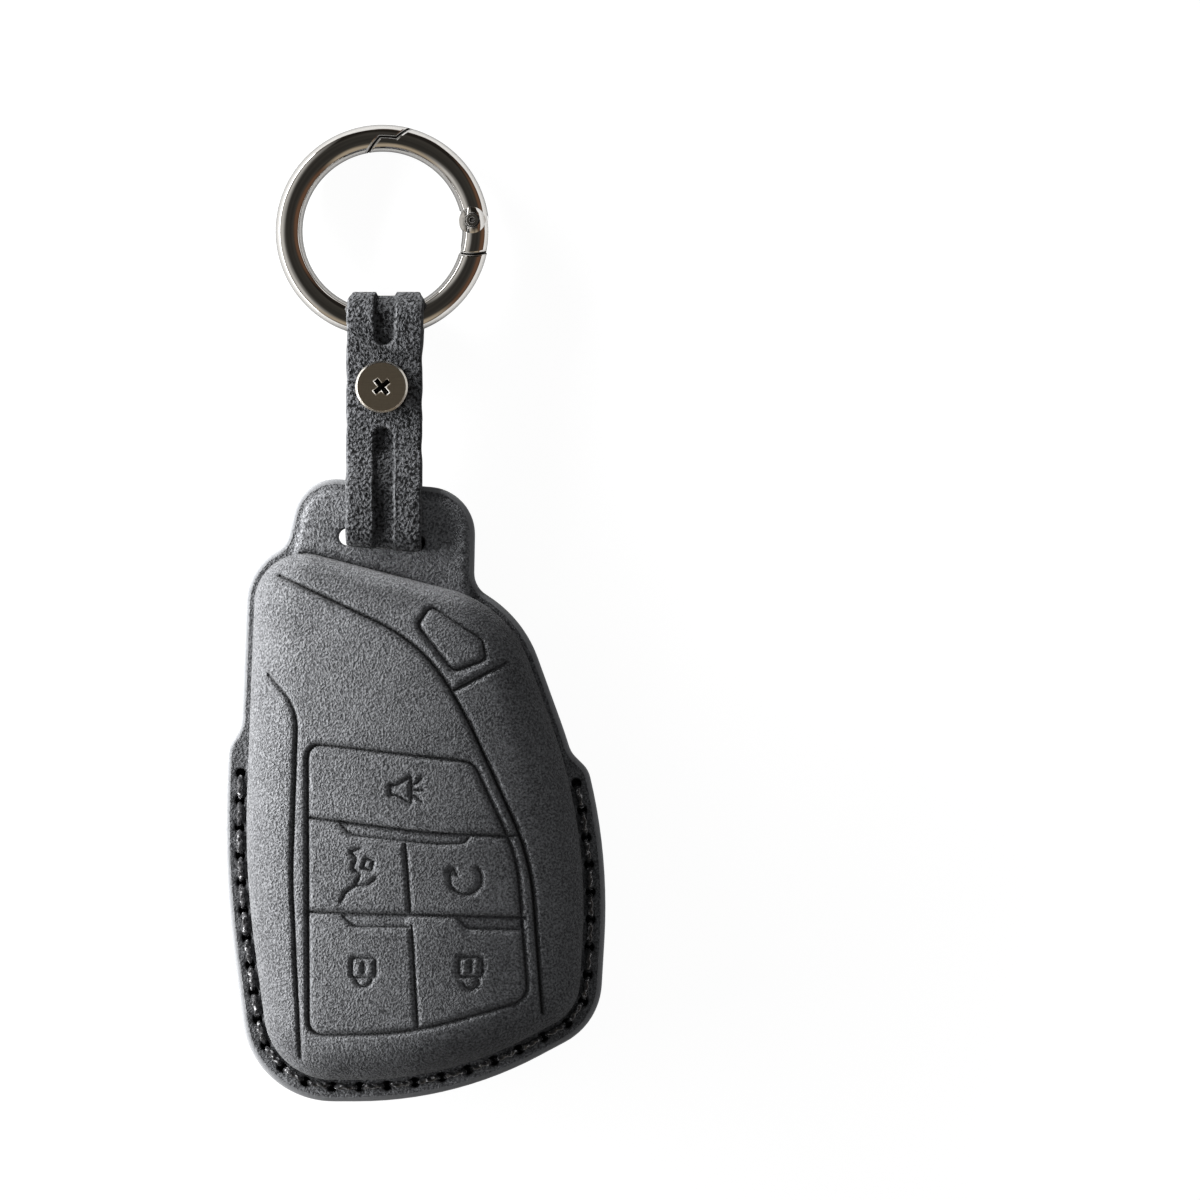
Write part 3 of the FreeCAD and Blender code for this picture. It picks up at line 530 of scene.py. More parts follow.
def field_of_spots(pitch):
    """Staggered spots over the whole panel."""
    low = outline.min(axis=0)
    high = outline.max(axis=0)
    rows = np.arange(low[1], high[1], pitch)
    columns = np.arange(low[0], high[0], pitch)
    spots = np.array([(x + (index % 2) * pitch / 2, y) for index, y in enumerate(rows) for x in columns])
    return spots[depth_in(spots, outline) > EDGE_CLEAR]


def dome_rise(points, inside, depth, shoulder, crowned):
    """Height of a dome over its border: steep wall, soft shoulder and, on the front, a leaning crown."""
    share = np.clip(inside / shoulder, 0, 1)
    wall = (1 - (1 - share) ** WALL_POWERS[0]) ** WALL_POWERS[1]
    x = points[:, 0] - CREST[0]
    y = points[:, 1] - CREST[1]
    across = x * math.cos(LEAN) + y * math.sin(LEAN)
    along = y * math.cos(LEAN) - x * math.sin(LEAN)
    fall = across**2 / CREST_FALL[0] + along**2 / CREST_FALL[1]
    return np.where(inside > 0, (depth - crowned * fall) * wall, 0)


def panel_net(strokes):
    """Net of a panel's outer face, with lines along its edges, shoulder, holes and pressed lines."""
    lines = []
    for line, steps in (
        (outline, EDGE_STEPS),
        (slot_loop, SLOT_STEPS),
        (dome_line, DOME_STEPS),
        (plateau_line, TAB_STEPS),
    ):
        lines += [(beside(line, step), True) for step in steps]
    for spot in hole_spots:
        lines += [(ring_of(spot, HOLE_RADIUS + step), True) for step in HOLE_STEPS]
    for line, closed, width, _ in strokes:
        lines += [(beside(line, width * share, closed), closed) for share in STROKE_STEPS]
    points, faces = lay_net(lines, loose_spots(strokes))
    return points, open_faces(points, faces)


def panel_shape(points, depth, shoulder, crowned, strokes):
    """Height of a panel's outer face at each point, and its edge paint, its pressed tone with painted shade,
    and the painted shade on its flange.
    """
    from_edge = np.maximum(depth_in(points, outline), 0)
    on_tab = depth_in(points, plateau_line)
    in_dome = depth_in(points, dome_line)
    to_hole = hole_gap(points)
    to_seam = gap_to(points, seam_line, False)

    plain = LEATHER + TAB_RISE * eased(on_tab / TAB_SLOPE)
    bulge = LEATHER + dome_rise(points, in_dome, depth, shoulder, crowned)
    height = np.maximum(plain, bulge)
    rounding = np.clip(EDGE_ROUND - from_edge, 0, EDGE_ROUND)
    height -= EDGE_ROUND - np.sqrt(EDGE_ROUND**2 - rounding**2)
    lip = np.clip(SLOT_LIP - gap_to(points, slot_loop), 0, SLOT_LIP)
    height -= SLOT_LIP - np.sqrt(SLOT_LIP**2 - lip**2)
    drawn_in = dip(to_seam, *SEAM_DIP) + dip(to_hole, *HOLE_DIP)
    height -= np.where(in_dome < 0.1, drawn_in, 0)

    pressed_and_shade = np.zeros(len(points))
    sunk = np.zeros(len(points))
    for line, closed, width, deep in strokes:
        gap = gap_to(points, line, closed) / width
        sunk = np.maximum(sunk, dip(gap, deep))
        pressed_and_shade = np.maximum(pressed_and_shade, dip(gap, deep, SHADE_SPREAD))
    height -= sunk
    by_tab = eased(on_tab / TAB_NEAR)
    # Painted shade in the crease between tab and dome, partly pressed in.
    crease = dip(in_dome, *CREASE_DIP) * by_tab * eased((CREASE_END - points[:, 0]) / CREASE_FADE)
    height -= CREASE_SINK * crease
    # Painted shade on the dome's wall, kept off the tab.
    wall_shade = WALL_SHADE * eased((WALL_SHADE_REACH - in_dome) / WALL_SHADE_FADE)
    wall_shade = wall_shade * (in_dome > 0) * (1 - by_tab)
    pressed_and_shade = np.max([pressed_and_shade, crease, wall_shade], axis=0)
    if strokes:
        for tray, (low, high) in zip(TRAYS, TRAY_TOPS):
            hollow = np.array([low, *tray, high])
            height -= TRAY_DEPTH * eased(depth_in(points, hollow) / TRAY_EDGE)

    # Painted shade on the flange over its darker leather, fading out towards the bottom.
    rim = eased((-np.maximum(in_dome, on_tab) + RIM_EDGE) / RIM_FADE)
    rim = rim * eased((points[:, 1] - RIM_LOW) / RIM_LOW_FADE)
    paint = 1 - eased((from_edge - PAINT_WIDTH + 0.03) / PAINT_FADE)
    # Pressed lines keep their own darker tone with painted shade; the crease, the dome's wall and the sewn
    # holes are painted shade.
    tone = np.maximum(pressed_and_shade / TONE_DEPTH, HOLE_SHADE * (to_hole < HOLE_RADIUS + 0.05))
    return height, {"paint": paint, "pressed_and_shade": tone, "rim": rim}


def make_panel(depth, shoulder, crowned, strokes):
    """One moulded panel standing up from the parting plane: outer face, edges, pocket and sewn holes."""
    points, faces = panel_net(strokes)
    height, tones = panel_shape(points, depth, shoulder, crowned, strokes)
    bm = bmesh.new()
    layers = {name: bm.verts.layers.float.new(name) for name in tones}
    verts = {}
    for index in np.unique(faces):
        vert = bm.verts.new((*points[index], height[index]))
        for name, layer in layers.items():
            vert[layer] = tones[name][index]
        verts[index] = vert
    for face in faces:
        bm.faces.new([verts[index] for index in face])
    border = [edge for edge in bm.edges if edge.is_boundary]
    spots = np.array([tuple(edge.verts[0].co.xy) for edge in border])
    sewn = hole_gap(spots) < HOLE_RADIUS + 0.1
    pits = drop_edges(bm, [edge for edge, hole in zip(border, sewn) if hole], PIT_FLOOR)
    bmesh.ops.holes_fill(bm, edges=pits, sides=0)
    foot = drop_edges(bm, [edge for edge, hole in zip(border, sewn) if not hole], EDGE_FOOT)
    drop_edges(bm, foot, 0.0)
    line_pocket(bm, depth, shoulder - LEATHER, crowned)
    bmesh.ops.remove_doubles(bm, verts=bm.verts, dist=1e-4)
    bmesh.ops.dissolve_degenerate(bm, edges=bm.edges, dist=1e-5)
    bmesh.ops.recalc_face_normals(bm, faces=bm.faces)
    return bm


def drop_edges(bm, border, level):
    """Walls from open edges straight down to a level; gives the new open edges."""
    wall = bmesh.ops.extrude_edge_only(bm, edges=border)["geom"]
    for item in wall:
        if isinstance(item, bmesh.types.BMVert):
            item.co.z = level
    return [item for item in wall if isinstance(item, bmesh.types.BMEdge) and item.is_boundary]


def line_pocket(bm, depth, shoulder, crowned):
    """Flat inner face of a panel with the hollow of its pocket."""
    lines = [(outline, True), (slot_loop, True)]
    lines += [(beside(dome_line, LEATHER + step), True) for step in POCKET_STEPS]
    points, faces = lay_net(lines, field_of_spots(POCKET_PITCH))
    faces = open_faces(points, faces, sewn=False)
    height = dome_rise(points, depth_in(points, dome_line) - LEATHER, depth, shoulder, crowned)
    verts = {index: bm.verts.new((*points[index], height[index])) for index in np.unique(faces)}
    for face in faces:
        bm.faces.new([verts[index] for index in face])


def finish_piece(name, bm, material, crease=42.0):
    """Store a mesh made in millimetres as a piece of the object."""
    bmesh.ops.scale(bm, vec=(MM, MM, MM), verts=bm.verts)
    limit = math.radians(crease)
    for face in bm.faces:
        face.smooth = True
    for edge in bm.edges:
        edge.smooth = edge.is_boundary or edge.calc_face_angle(0.0) < limit
    mesh = bpy.data.meshes.new(name)
    bm.to_mesh(mesh)
    bm.free()
    piece = bpy.data.objects.new(name, mesh)
    bpy.context.scene.collection.objects.link(piece)
    mesh.materials.append(material)
    return piece


def new_material(name):
    """New material with its node tree and its shader."""
    material = bpy.data.materials.new(name)
    material.use_nodes = True
    tree = material.node_tree
    return material, tree, tree.nodes["Principled BSDF"]


def feed(tree, node, values):
    """Set a node's inputs to plain values, or join them to other nodes' outputs."""
    for key, value in values.items():
        if isinstance(value, bpy.types.NodeSocket):
            tree.links.new(value, node.inputs[key])
        else:
            node.inputs[key].default_value = value


def add_node(tree, kind, values=None, **settings):
    """Add a node, set its options and feed its inputs."""
    node = tree.nodes.new(kind)
    for key, value in settings.items():
        setattr(node, key, value)
    feed(tree, node, values or {})
    return node


def place_in(tree):
    """The piece's own coordinates."""
    return add_node(tree, "ShaderNodeTexCoord").outputs["Object"]


def noise(tree, place, scale, **values):
    """Noise of a scale at a place."""
    return add_node(tree, "ShaderNodeTexNoise", {"Vector": place, "Scale": scale, **values}).outputs["Fac"]


def calc(tree, operation, *values, **settings):
    """One step of arithmetic."""
    inputs = dict(enumerate(values))
    return add_node(tree, "ShaderNodeMath", inputs, operation=operation, **settings).outputs[0]


def vector(tree, operation, *values):
    """One step of vector arithmetic; a length and a dot product come out as numbers."""
    node = add_node(tree, "ShaderNodeVectorMath", dict(enumerate(values)), operation=operation)
    return node.outputs["Value" if operation in ("LENGTH", "DOT_PRODUCT") else "Vector"]


def ramped(tree, value, start, end, low=0.0, high=1.0):
    """A value taken from one span to another."""
    values = {"Value": value, "From Min": start, "From Max": end, "To Min": low, "To Max": high}
    return add_node(tree, "ShaderNodeMapRange", values).outputs["Result"]


def mixed(tree, share, first, second):
    """One colour turning into another, each a joined or a plain one."""
    values = {0: share}
    for key, colour in ((6, first), (7, second)):
        values[key] = (*colour, 1) if isinstance(colour, tuple) else colour
    return add_node(tree, "ShaderNodeMix", values, data_type="RGBA").outputs[2]


def dimmed(colour, share):
    """A darker plain colour."""
    return tuple(share * value for value in colour)


def new_group(name, inputs, outputs):
    """New node group with its sockets, all plain numbers."""
    group = bpy.data.node_groups.new(name, "ShaderNodeTree")
    for names, way in ((inputs, "INPUT"), (outputs, "OUTPUT")):
        for socket in names:
            group.interface.new_socket(socket, in_out=way, socket_type="NodeSocketFloat")
    return group


def nap_group():
    """Suede nap: tone and height of short fibres, with brushed patches."""
    group = new_group("suede_nap", ("Fibre Scale", "Contrast"), ("Tone", "Height"))
    source = group.nodes.new("NodeGroupInput").outputs
    place = place_in(group)
    fibre = noise(group, place, source["Fibre Scale"], Detail=1.2, Roughness=0.5, Distortion=0.4)
    patch = noise(group, place, 160.0, Detail=2.0, Roughness=0.5)
    height = ramped(group, fibre, 0.32, 0.68)
    brushed = ramped(group, patch, 0.3, 0.7, -0.08, 0.08)
    scaled = calc(group, "MULTIPLY", calc(group, "SUBTRACT", height, 0.5), source["Contrast"])
    tone = calc(group, "ADD", calc(group, "ADD", scaled, brushed), 0.5, use_clamp=True)
    add_node(group, "NodeGroupOutput", {"Tone": tone, "Height": height})
    return group


NAP = nap_group()


def suede(name, dark, light, painted, fibre_scale, contrast, relief_depth):
    """Napped leather with painted edges, darker in its pressed lines and on its flange: their own darker tone
    with painted shade.
    """
    material, tree, shader = new_material(name)
    values = {"Fibre Scale": fibre_scale, "Contrast": contrast}
    nap = add_node(tree, "ShaderNodeGroup", values, node_tree=NAP).outputs
    pressed_and_shade, rim, paint = (
        add_node(tree, "ShaderNodeAttribute", attribute_name=layer).outputs["Fac"]
        for layer in ("pressed_and_shade", "rim", "paint")
    )
    colour = mixed(tree, nap["Tone"], dark, light)
    # Pressed lines: their own darker tone with painted shade; crease, dome wall and holes: painted shade.
    press_and_shade_dark = calc(tree, "MULTIPLY", pressed_and_shade, 0.6, use_clamp=True)
    colour = mixed(tree, press_and_shade_dark, colour, dimmed(dark, 0.2))
    # Painted shade on the flange over its darker leather.
    colour = mixed(tree, calc(tree, "MULTIPLY", rim, 0.4), colour, dimmed(dark, 0.5))
    fuzz = calc(tree, "MULTIPLY", nap["Height"], ramped(tree, paint, 0.0, 1.0, 1.0, 0.12))
    relief = add_node(tree, "ShaderNodeBump", {"Strength": 1.0, "Distance": relief_depth, "Height": fuzz})
    feed(tree, shader, {
        "Base Color": mixed(tree, paint, colour, painted),
        "Roughness": ramped(tree, paint, 0.0, 1.0, 0.92, 0.5),
        "Normal": relief.outputs["Normal"],
        "Sheen Weight": 0.12,
        "Sheen Roughness": 0.45,
        "Specular IOR Level": 0.25,
    })
    return material


def waxed_thread():
    """Black waxed thread with pale flecks painted in as glints."""
    material, tree, shader = new_material("waxed_thread")
    wax_and_glints = noise(tree, place_in(tree), 1800.0, Detail=2.0)
    tone = mixed(tree, wax_and_glints, (0.008, 0.008, 0.009), (0.07, 0.07, 0.073))
    feed(tree, shader, {
        # Pale flecks: painted glints.
        "Base Color": mixed(tree, ramped(tree, wax_and_glints, 0.58, 0.7), tone, (0.5, 0.5, 0.51)),
        "Roughness": ramped(tree, wax_and_glints, 0.0, 1.0, 0.14, 0.3),
        "Specular IOR Level": 0.7,
    })
    return material


def seam_group():
    """Painted shade in the ring's seams, by place in its plane, at the gate's two joints and round its rivet,
    and the seams' relief.
    """
    group = new_group("ring_seams", (), ("Seam", "Height"))
    axis = Vector((0.0, math.sin(DROOP), math.cos(DROOP)))
    along = Vector((0.0, math.cos(DROOP), -math.sin(DROOP)))
    place = place_in(group)

    def in_plane(centre):
        shift = vector(group, "SUBTRACT", place, centre)
        return vector(group, "SUBTRACT", shift, vector(group, "PROJECT", shift, axis))

    def beyond(level, radius):
        return calc(group, "SUBTRACT", vector(group, "LENGTH", level), radius * MM)

    def line(distance, width):
        return ramped(group, calc(group, "ABSOLUTE", distance), 0.6 * width * MM, width * MM, 1.0, 0.0)

    by_centre = in_plane(hung(0.0, RING_U, -STRAP_LAYER / 2) * MM)
    by_pin = in_plane(hung(PIN[0], RING_U + PIN[1], -STRAP_LAYER / 2) * MM)
    below = vector(group, "DOT_PRODUCT", by_pin, -along)
    lip = calc(group, "MAXIMUM", beyond(by_pin, GATE_REACH[1]), below)
    lapped = calc(group, "MAXIMUM", beyond(by_pin, GATE_REACH[2]), beyond(by_centre, RING_RADIUS))
    nose = calc(group, "MAXIMUM", lapped, below)
    gate = calc(group, "MINIMUM", calc(group, "MINIMUM", lip, nose), beyond(by_pin, GATE_REACH[0]))
    # Painted shade in the joint round the rivet's head, and a dark ring near its middle.
    rivet = calc(group, "MAXIMUM", line(beyond(by_pin, 1.08), 0.14), line(beyond(by_pin, 0.3), 0.2))
    knuckle = calc(group, "POWER", ramped(group, beyond(by_pin, 0.0), 0.0, 2.1 * MM), 2.0)
    fall = calc(group, "MULTIPLY", knuckle, -0.7 * MM)
    ditch = calc(group, "MULTIPLY", line(gate, 0.45), -0.1 * MM)
    # Painted shade along the gate's joints and round the rivet.
    seam_shade = calc(group, "MAXIMUM", line(gate, 0.26), rivet)
    add_node(group, "NodeGroupOutput", {"Seam": seam_shade, "Height": calc(group, "ADD", fall, ditch)})
    return group


def plated(name, colour, low, high, seams=None):
    """Polished plating with faint handling marks, and painted shade in its seams where a group gives them."""
    material, tree, shader = new_material(name)
    marks = noise(tree, place_in(tree), 700.0, Detail=4.0, Roughness=0.6)
    rough = ramped(tree, marks, 0.3, 0.7, low, high)
    tone = mixed(tree, marks, dimmed(colour, 0.86), colour)
    if seams is None:
        feed(tree, shader, {"Base Color": tone, "Roughness": rough, "Metallic": 1.0})
        return material
    source = add_node(tree, "ShaderNodeGroup", node_tree=seams).outputs
    seam_shade = source["Seam"]
    relief = add_node(tree, "ShaderNodeBump", {"Strength": 1.0, "Distance": 1.0, "Height": source["Height"]})
    feed(tree, shader, {
        # Painted shade in the seams: near black and not metal.
        "Base Color": mixed(tree, seam_shade, tone, (0.012, 0.011, 0.01)),
        "Roughness": calc(tree, "MAXIMUM", rough, seam_shade),
        "Metallic": calc(tree, "SUBTRACT", 1.0, seam_shade),
        "Normal": relief.outputs["Normal"],
    })
    return material


def brushed_head():
    """Dark brushed screw face with a bright turned rim, a cross painted dark as the shade in its recess, and
    a painted highlight round the cross's lip.
    """
    material, tree, shader = new_material("dark_nickel")
    place = place_in(tree)
    low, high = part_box("cap_screw")
    centre = [-(low[axis] + high[axis]) / 2 for axis in range(2)]
    shift = add_node(tree, "ShaderNodeMapping", {"Vector": place, "Location": (*centre, 0)})
    flat = vector(tree, "MULTIPLY", shift.outputs["Vector"], (1, 1, 0))
    rim = ramped(tree, vector(tree, "LENGTH", flat), 3.8 * MM, 3.88 * MM)
    brush = {"Vector": place, "Rotation": (0, 0, 0.6), "Scale": (350.0, 9000.0, 350.0)}
    streak = add_node(tree, "ShaderNodeMapping", brush).outputs["Vector"]
    face = mixed(tree, noise(tree, streak, 1.0, Detail=2.0), (0.74, 0.65, 0.51), (1.0, 0.89, 0.71))
    tone = mixed(tree, rim, face, (0.6, 0.57, 0.52))

    turn = {"Vector": flat, "Angle": -math.radians(RECESS[2])}
    turned = add_node(tree, "ShaderNodeVectorRotate", turn, rotation_type="Z_AXIS").outputs["Vector"]
    ways = add_node(tree, "ShaderNodeSeparateXYZ", {0: vector(tree, "ABSOLUTE", turned)}).outputs
    past = []
    for operation, size in (("MAXIMUM", RECESS[0]), ("MINIMUM", RECESS[1])):
        past.append(calc(tree, "SUBTRACT", calc(tree, operation, ways["X"], ways["Y"]), size * MM / 2))
    outside = calc(tree, "MAXIMUM", *past)
    # A painted highlight round the cross's lip, broken by noise, and not metal.
    highlight_breaks = ramped(tree, noise(tree, place, 800.0, Detail=1.0), 0.4, 0.62)
    lip_highlight = calc(tree, "MULTIPLY", ramped(tree, outside, 0.17 * MM, 0.08 * MM), highlight_breaks)
    tone = mixed(tree, lip_highlight, tone, (0.95, 0.93, 0.89))
    # Painted shade in the cross's recess.
    recess_shade = ramped(tree, outside, 0.03 * MM, -0.03 * MM)
    feed(tree, shader, {
        "Base Color": mixed(tree, recess_shade, tone, (0.015, 0.014, 0.012)),
        "Roughness": ramped(tree, rim, 0.0, 1.0, 0.46, 0.2),
        "Metallic": calc(tree, "SUBTRACT", 1.0, lip_highlight),
    })
    return material


def sweep(bm, frames, around):
    """Tube of a changing outline: each frame gives the points of one outline in space."""
    count = len(frames) - 1
    before = set(bm.verts)
    bmesh.ops.create_grid(bm, x_segments=count, y_segments=around, size=1)
    fresh = [vert for vert in bm.verts if vert not in before]
    for vert in fresh:
        index = round((vert.co.x + 1) / 2 * count)
        turn = round((vert.co.y + 1) / 2 * around) % around
        vert.co = frames[index][turn]
    bmesh.ops.remove_doubles(bm, verts=fresh, dist=1e-5)
    ends = [edge for vert in fresh if vert.is_valid for edge in vert.link_edges if edge.is_boundary]
    bmesh.ops.holes_fill(bm, edges=list(dict.fromkeys(ends)), sides=0)


def thread_runs(side):
    """Twisted runs of thread between neighbouring holes, on the front or the back of the seam."""
    bm = bmesh.new()
    surface = PARTING + side * LEATHER
    for number, (start, end) in enumerate(zip(hole_spots, hole_spots[1:])):
        run = np.append(end - start, 0.0)
        length = np.hypot(*run[:2])
        ahead = run / length
        across = np.array((-ahead[1], ahead[0], 0.0))
        lean = 0.1 * (-1) ** number
        frames = []
        # A run climbs out of its hole, lies over the leather and dives into the next hole.
        for share in np.linspace(0, 1, THREAD_STEPS):
            lift = THREAD_RISE * math.sin(math.pi * share) ** 0.4 if 0 < share < 1 else 0.0
            drop = THREAD_DIVE * (max(0.0, abs(share - 0.5) * 2 - 0.7) / 0.3) ** 1.5
            along = THREAD_RADIUS + share * (length - 2 * THREAD_RADIUS)
            centre = np.array((*start, surface)) + ahead * along + across * (lean * (share - 0.5))
            centre[2] += side * (lift - drop)
            slope = 0.36 * math.pi * 0.5 * math.cos(math.pi * share) if 0.15 < share < 0.85 else 0.0
            up = np.array((0, 0, side)) - ahead * slope * 0.2
            if not 0.12 < share < 0.88:
                up = np.array((0, 0, side * 0.7)) + ahead * math.copysign(0.7, share - 0.5)
            up = up / np.linalg.norm(up)
            twist = 2 * math.pi * along / THREAD_TWIST + number
            ring = []
            for turn in range(THREAD_AROUND):
                angle = 2 * math.pi * turn / THREAD_AROUND
                radius = THREAD_RADIUS * (1 + THREAD_PLY * math.cos(2 * (angle - twist)))
                aside = across * (radius * math.cos(angle))
                ring.append(Vector(centre + aside + up * (radius * math.sin(angle))))
            frames.append(ring)
        sweep(bm, frames, THREAD_AROUND)
    bmesh.ops.recalc_face_normals(bm, faces=bm.faces)
    return bm


def strap_route():
    """Middle line of the strap in Y and Z: from its hidden end, round the slot, up and over the ring."""
    def hang(u, w):
        return tuple(hung(0.0, u, w).yz)

    sag = (RING_RADIUS - math.sqrt(RING_RADIUS**2 - (STRAP_WIDTH / 2) ** 2)) / 2
    fold_u = RING_U - RING_RADIUS + sag
    fold_radius = RING_WIRE + sag + RING_ROOM + STRAP_THICK / 2
    knee_u = SCREW_U + KNEE_STEP
    rise = fold_u - knee_u
    lean = math.asin(fold_radius / math.hypot(rise, STRAP_LAYER)) - math.atan2(STRAP_LAYER, rise)
    crest_u = fold_u + fold_radius
    crest_w = STRAP_LAYER + math.tan(lean) * (crest_u - knee_u)
    half = STRAP_LAYER / 2
    leg = LEATHER + TAB_RISE + TAB_ROOM + STRAP_THICK / 2
    top, foot = STRAP_SLOPE
    corners = [
        (*hang(STRAP_ENDS[0], -half), 0),
        (FLEX[0], FLEX[1] - half, 10.0),
        (foot, PARTING - half, 4.0),
        (top, PARTING - leg, 4.0),
        (SLOT_TURN, PARTING - leg, 2.0),
        (SLOT_TURN, PARTING + leg, 2.0),
        (top, PARTING + leg, 4.0),
        (foot, PARTING + half, 4.0),
        (FLEX[0], FLEX[1] + half, 10.0),
        (*hang(knee_u, half), 4.0),
        (*hang(crest_u, crest_w - half), fold_radius),
        (*hang(crest_u, -crest_w - half), fold_radius),
        (*hang(knee_u, -3 * half), 4.0),
        (*hang(STRAP_ENDS[1], -3 * half), 0),
    ]
    return rounded(corners, closed=False, step=0.2)


def groove_share(across, run):
    """How deep the strap's pressed channel is at a place across it and along Y."""
    low = np.hypot(across, max(0.0, run - (GROOVE_ENDS[0] - GROOVE_HALF)))
    high = np.hypot(across, max(0.0, (GROOVE_ENDS[1] + GROOVE_HALF) - run))
    return max(soft((GROOVE_HALF - gap) / GROOVE_SLOPE) for gap in (low, high))


def strap_profile():
    """Outline of the strap's section, across it and out of its face, with soft corners."""
    side = STRAP_WIDTH / 2
    face = STRAP_THICK / 2
    flat_side = side - STRAP_CORNER
    flat_face = face - STRAP_CORNER
    channel = np.linspace(-2.0, 2.0, 27)
    flat = [-flat_side, -4.6, -3.4, -2.5, *channel, 2.5, 3.4, 4.6, flat_side]
    bends = np.radians((22.5, 45.0, 67.5))
    turns = [(STRAP_CORNER * math.sin(bend), STRAP_CORNER * math.cos(bend)) for bend in bends]
    return [
        *((x, face) for x in reversed(flat)),
        *((-flat_side - sin, flat_face + cos) for sin, cos in turns),
        *((-side, out) for out in (flat_face, 0.0, -flat_face)),
        *((-flat_side - cos, -flat_face - sin) for sin, cos in turns),
        *((x, -face) for x in flat),
        *((flat_side + sin, -flat_face - cos) for sin, cos in turns),
        *((side, out) for out in (-flat_face, 0.0, flat_face)),
        *((flat_side + cos, flat_face + sin) for sin, cos in turns),
    ]


def make_strap():
    """One strip with soft edges and a pressed channel on its outer face, bent along its route."""
    route = strap_route()
    run = np.gradient(route, axis=0)
    run = run / np.hypot(*run.T)[:, None]
    profile = strap_profile()
    frames = []
    # Along its way the strip sways, widens, leans in the slot, thins inside its fold and has its channel.
    for (y, z), (run_y, run_z) in zip(route, run):
        wander = 0.35 + 0.25 * soft((y - 68.0) / 8.0) + 0.06 * math.sin(0.9 * y)
        wander += soft((PARTING - 0.8 - z) / 2.0) * (1 - soft((y - 42.0) / 6.0))
        spread = 1 + 0.02 * soft((y - 70.0) / 6.0) + 0.004 * math.sin(1.7 * y + 1)
        spread -= 0.11 * soft((y - 76.4) / 1.8) ** 3
        shear = STRAP_TILT * (1 - soft((y - 46.0) / 7.0))
        thinned = FOLD_ROOM * soft((y - 70.0) / 3.0)
        channel = 0.06 + 0.54 * soft((y - 38.5) / 2.5)
        ring = []
        for x, out in profile:
            lift = out + thinned if out < 0 else out
            if out == STRAP_THICK / 2 and abs(x) < 2.6:
                lift -= channel * groove_share(x, y)
            across = STRAP_X + wander + spread * x
            ring.append(Vector((across, y - run_z * lift - shear * x, z + run_y * lift)))
        frames.append(ring)
    bm = bmesh.new()
    sweep(bm, frames, len(profile))
    bmesh.ops.recalc_face_normals(bm, faces=bm.faces)
    paint_layer = bm.verts.layers.float.new("paint")
    press_and_shade_layer = bm.verts.layers.float.new("pressed_and_shade")
    for vert in bm.verts:
        across = vert.co.x - STRAP_X - 0.4
        vert[paint_layer] = 0.6 * soft((abs(across) - STRAP_WIDTH / 2 + 0.3) / 0.2)
        # The channel's dark: its own pressed tone, with painted shade spread over the top of its walls.
        vert[press_and_shade_layer] = 0.6 * groove_share(0.84 * across, vert.co.y) * float(vert.co.z > PARTING)
    return bm


def make_coil():
    """The gate's spring, wound by the spin operator along its bore."""
    bm = bmesh.new()
    side = Matrix.Translation((COIL["radius"], 0, 0)) @ Matrix.Rotation(math.pi / 2, 4, "X")
    bmesh.ops.create_circle(bm, segments=8, radius=COIL["wire"], matrix=side)
    steps = 16 * COIL["turns"]
    rise = Vector((0, 0, (COIL["high"] - COIL["low"]) / steps))
    turn = 2 * math.pi * COIL["turns"]
    bmesh.ops.spin(bm, geom=bm.edges[:], cent=(0, 0, 0), axis=(0, 0, 1), dvec=rise, angle=turn, steps=steps)
    bmesh.ops.holes_fill(bm, edges=[edge for edge in bm.edges if edge.is_boundary], sides=0)
    bmesh.ops.recalc_face_normals(bm, faces=bm.faces)
    lay = Matrix.Rotation(-math.pi / 2 - DROOP, 4, "X")
    bmesh.ops.rotate(bm, cent=(0, 0, 0), matrix=lay, verts=bm.verts)
    bmesh.ops.translate(bm, vec=coil_end("low"), verts=bm.verts)
    return bm


def coil_end(end):
    """Place of one end of the gate's spring."""
    return hung(PIN[0] + COIL["x"], RING_U + PIN[1] + COIL[end], -STRAP_LAYER / 2)


panel_suede = suede(
    "panel_suede",
    dark=(0.05, 0.0512, 0.054),
    light=(0.27, 0.275, 0.287),
    painted=(0.22, 0.224, 0.232),
    fibre_scale=3000.0,
    contrast=0.84,
    relief_depth=0.13 * MM,
)
strap_suede = suede(
    "strap_suede",
    dark=(0.009, 0.0094, 0.0101),
    light=(0.135, 0.138, 0.145),
    painted=(0.08, 0.082, 0.086),
    fibre_scale=2100.0,
    contrast=1.3,
    relief_depth=0.22 * MM,
)
thread_wax = waxed_thread()
seams = seam_group()
nickel = plated("nickel", (0.8, 0.78, 0.75), 0.025, 0.05, seams)
rivet = plated("rivet_nickel", (0.86, 0.84, 0.81), 0.16, 0.22, seams)
steel = plated("spring_steel", (0.45, 0.45, 0.46), 0.2, 0.32)
dark_nickel = brushed_head()

front_bm = make_panel(FRONT_DEPTH, FRONT_SHOULDER, 1, pressed_lines() + pictograms())
bmesh.ops.translate(front_bm, vec=(0, 0, PARTING), verts=front_bm.verts)
front_panel = finish_piece("front_panel", front_bm, panel_suede)
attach(front_panel, "case")
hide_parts("front_shell")

back_bm = make_panel(BACK_DEPTH, BACK_SHOULDER, 0, [])
bmesh.ops.scale(back_bm, vec=(1, 1, -1), verts=back_bm.verts)
bmesh.ops.translate(back_bm, vec=(0, 0, PARTING), verts=back_bm.verts)
bmesh.ops.recalc_face_normals(back_bm, faces=back_bm.faces)
back_panel = finish_piece("back_panel", back_bm, panel_suede)
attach(back_panel, "case")
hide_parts("back_shell")

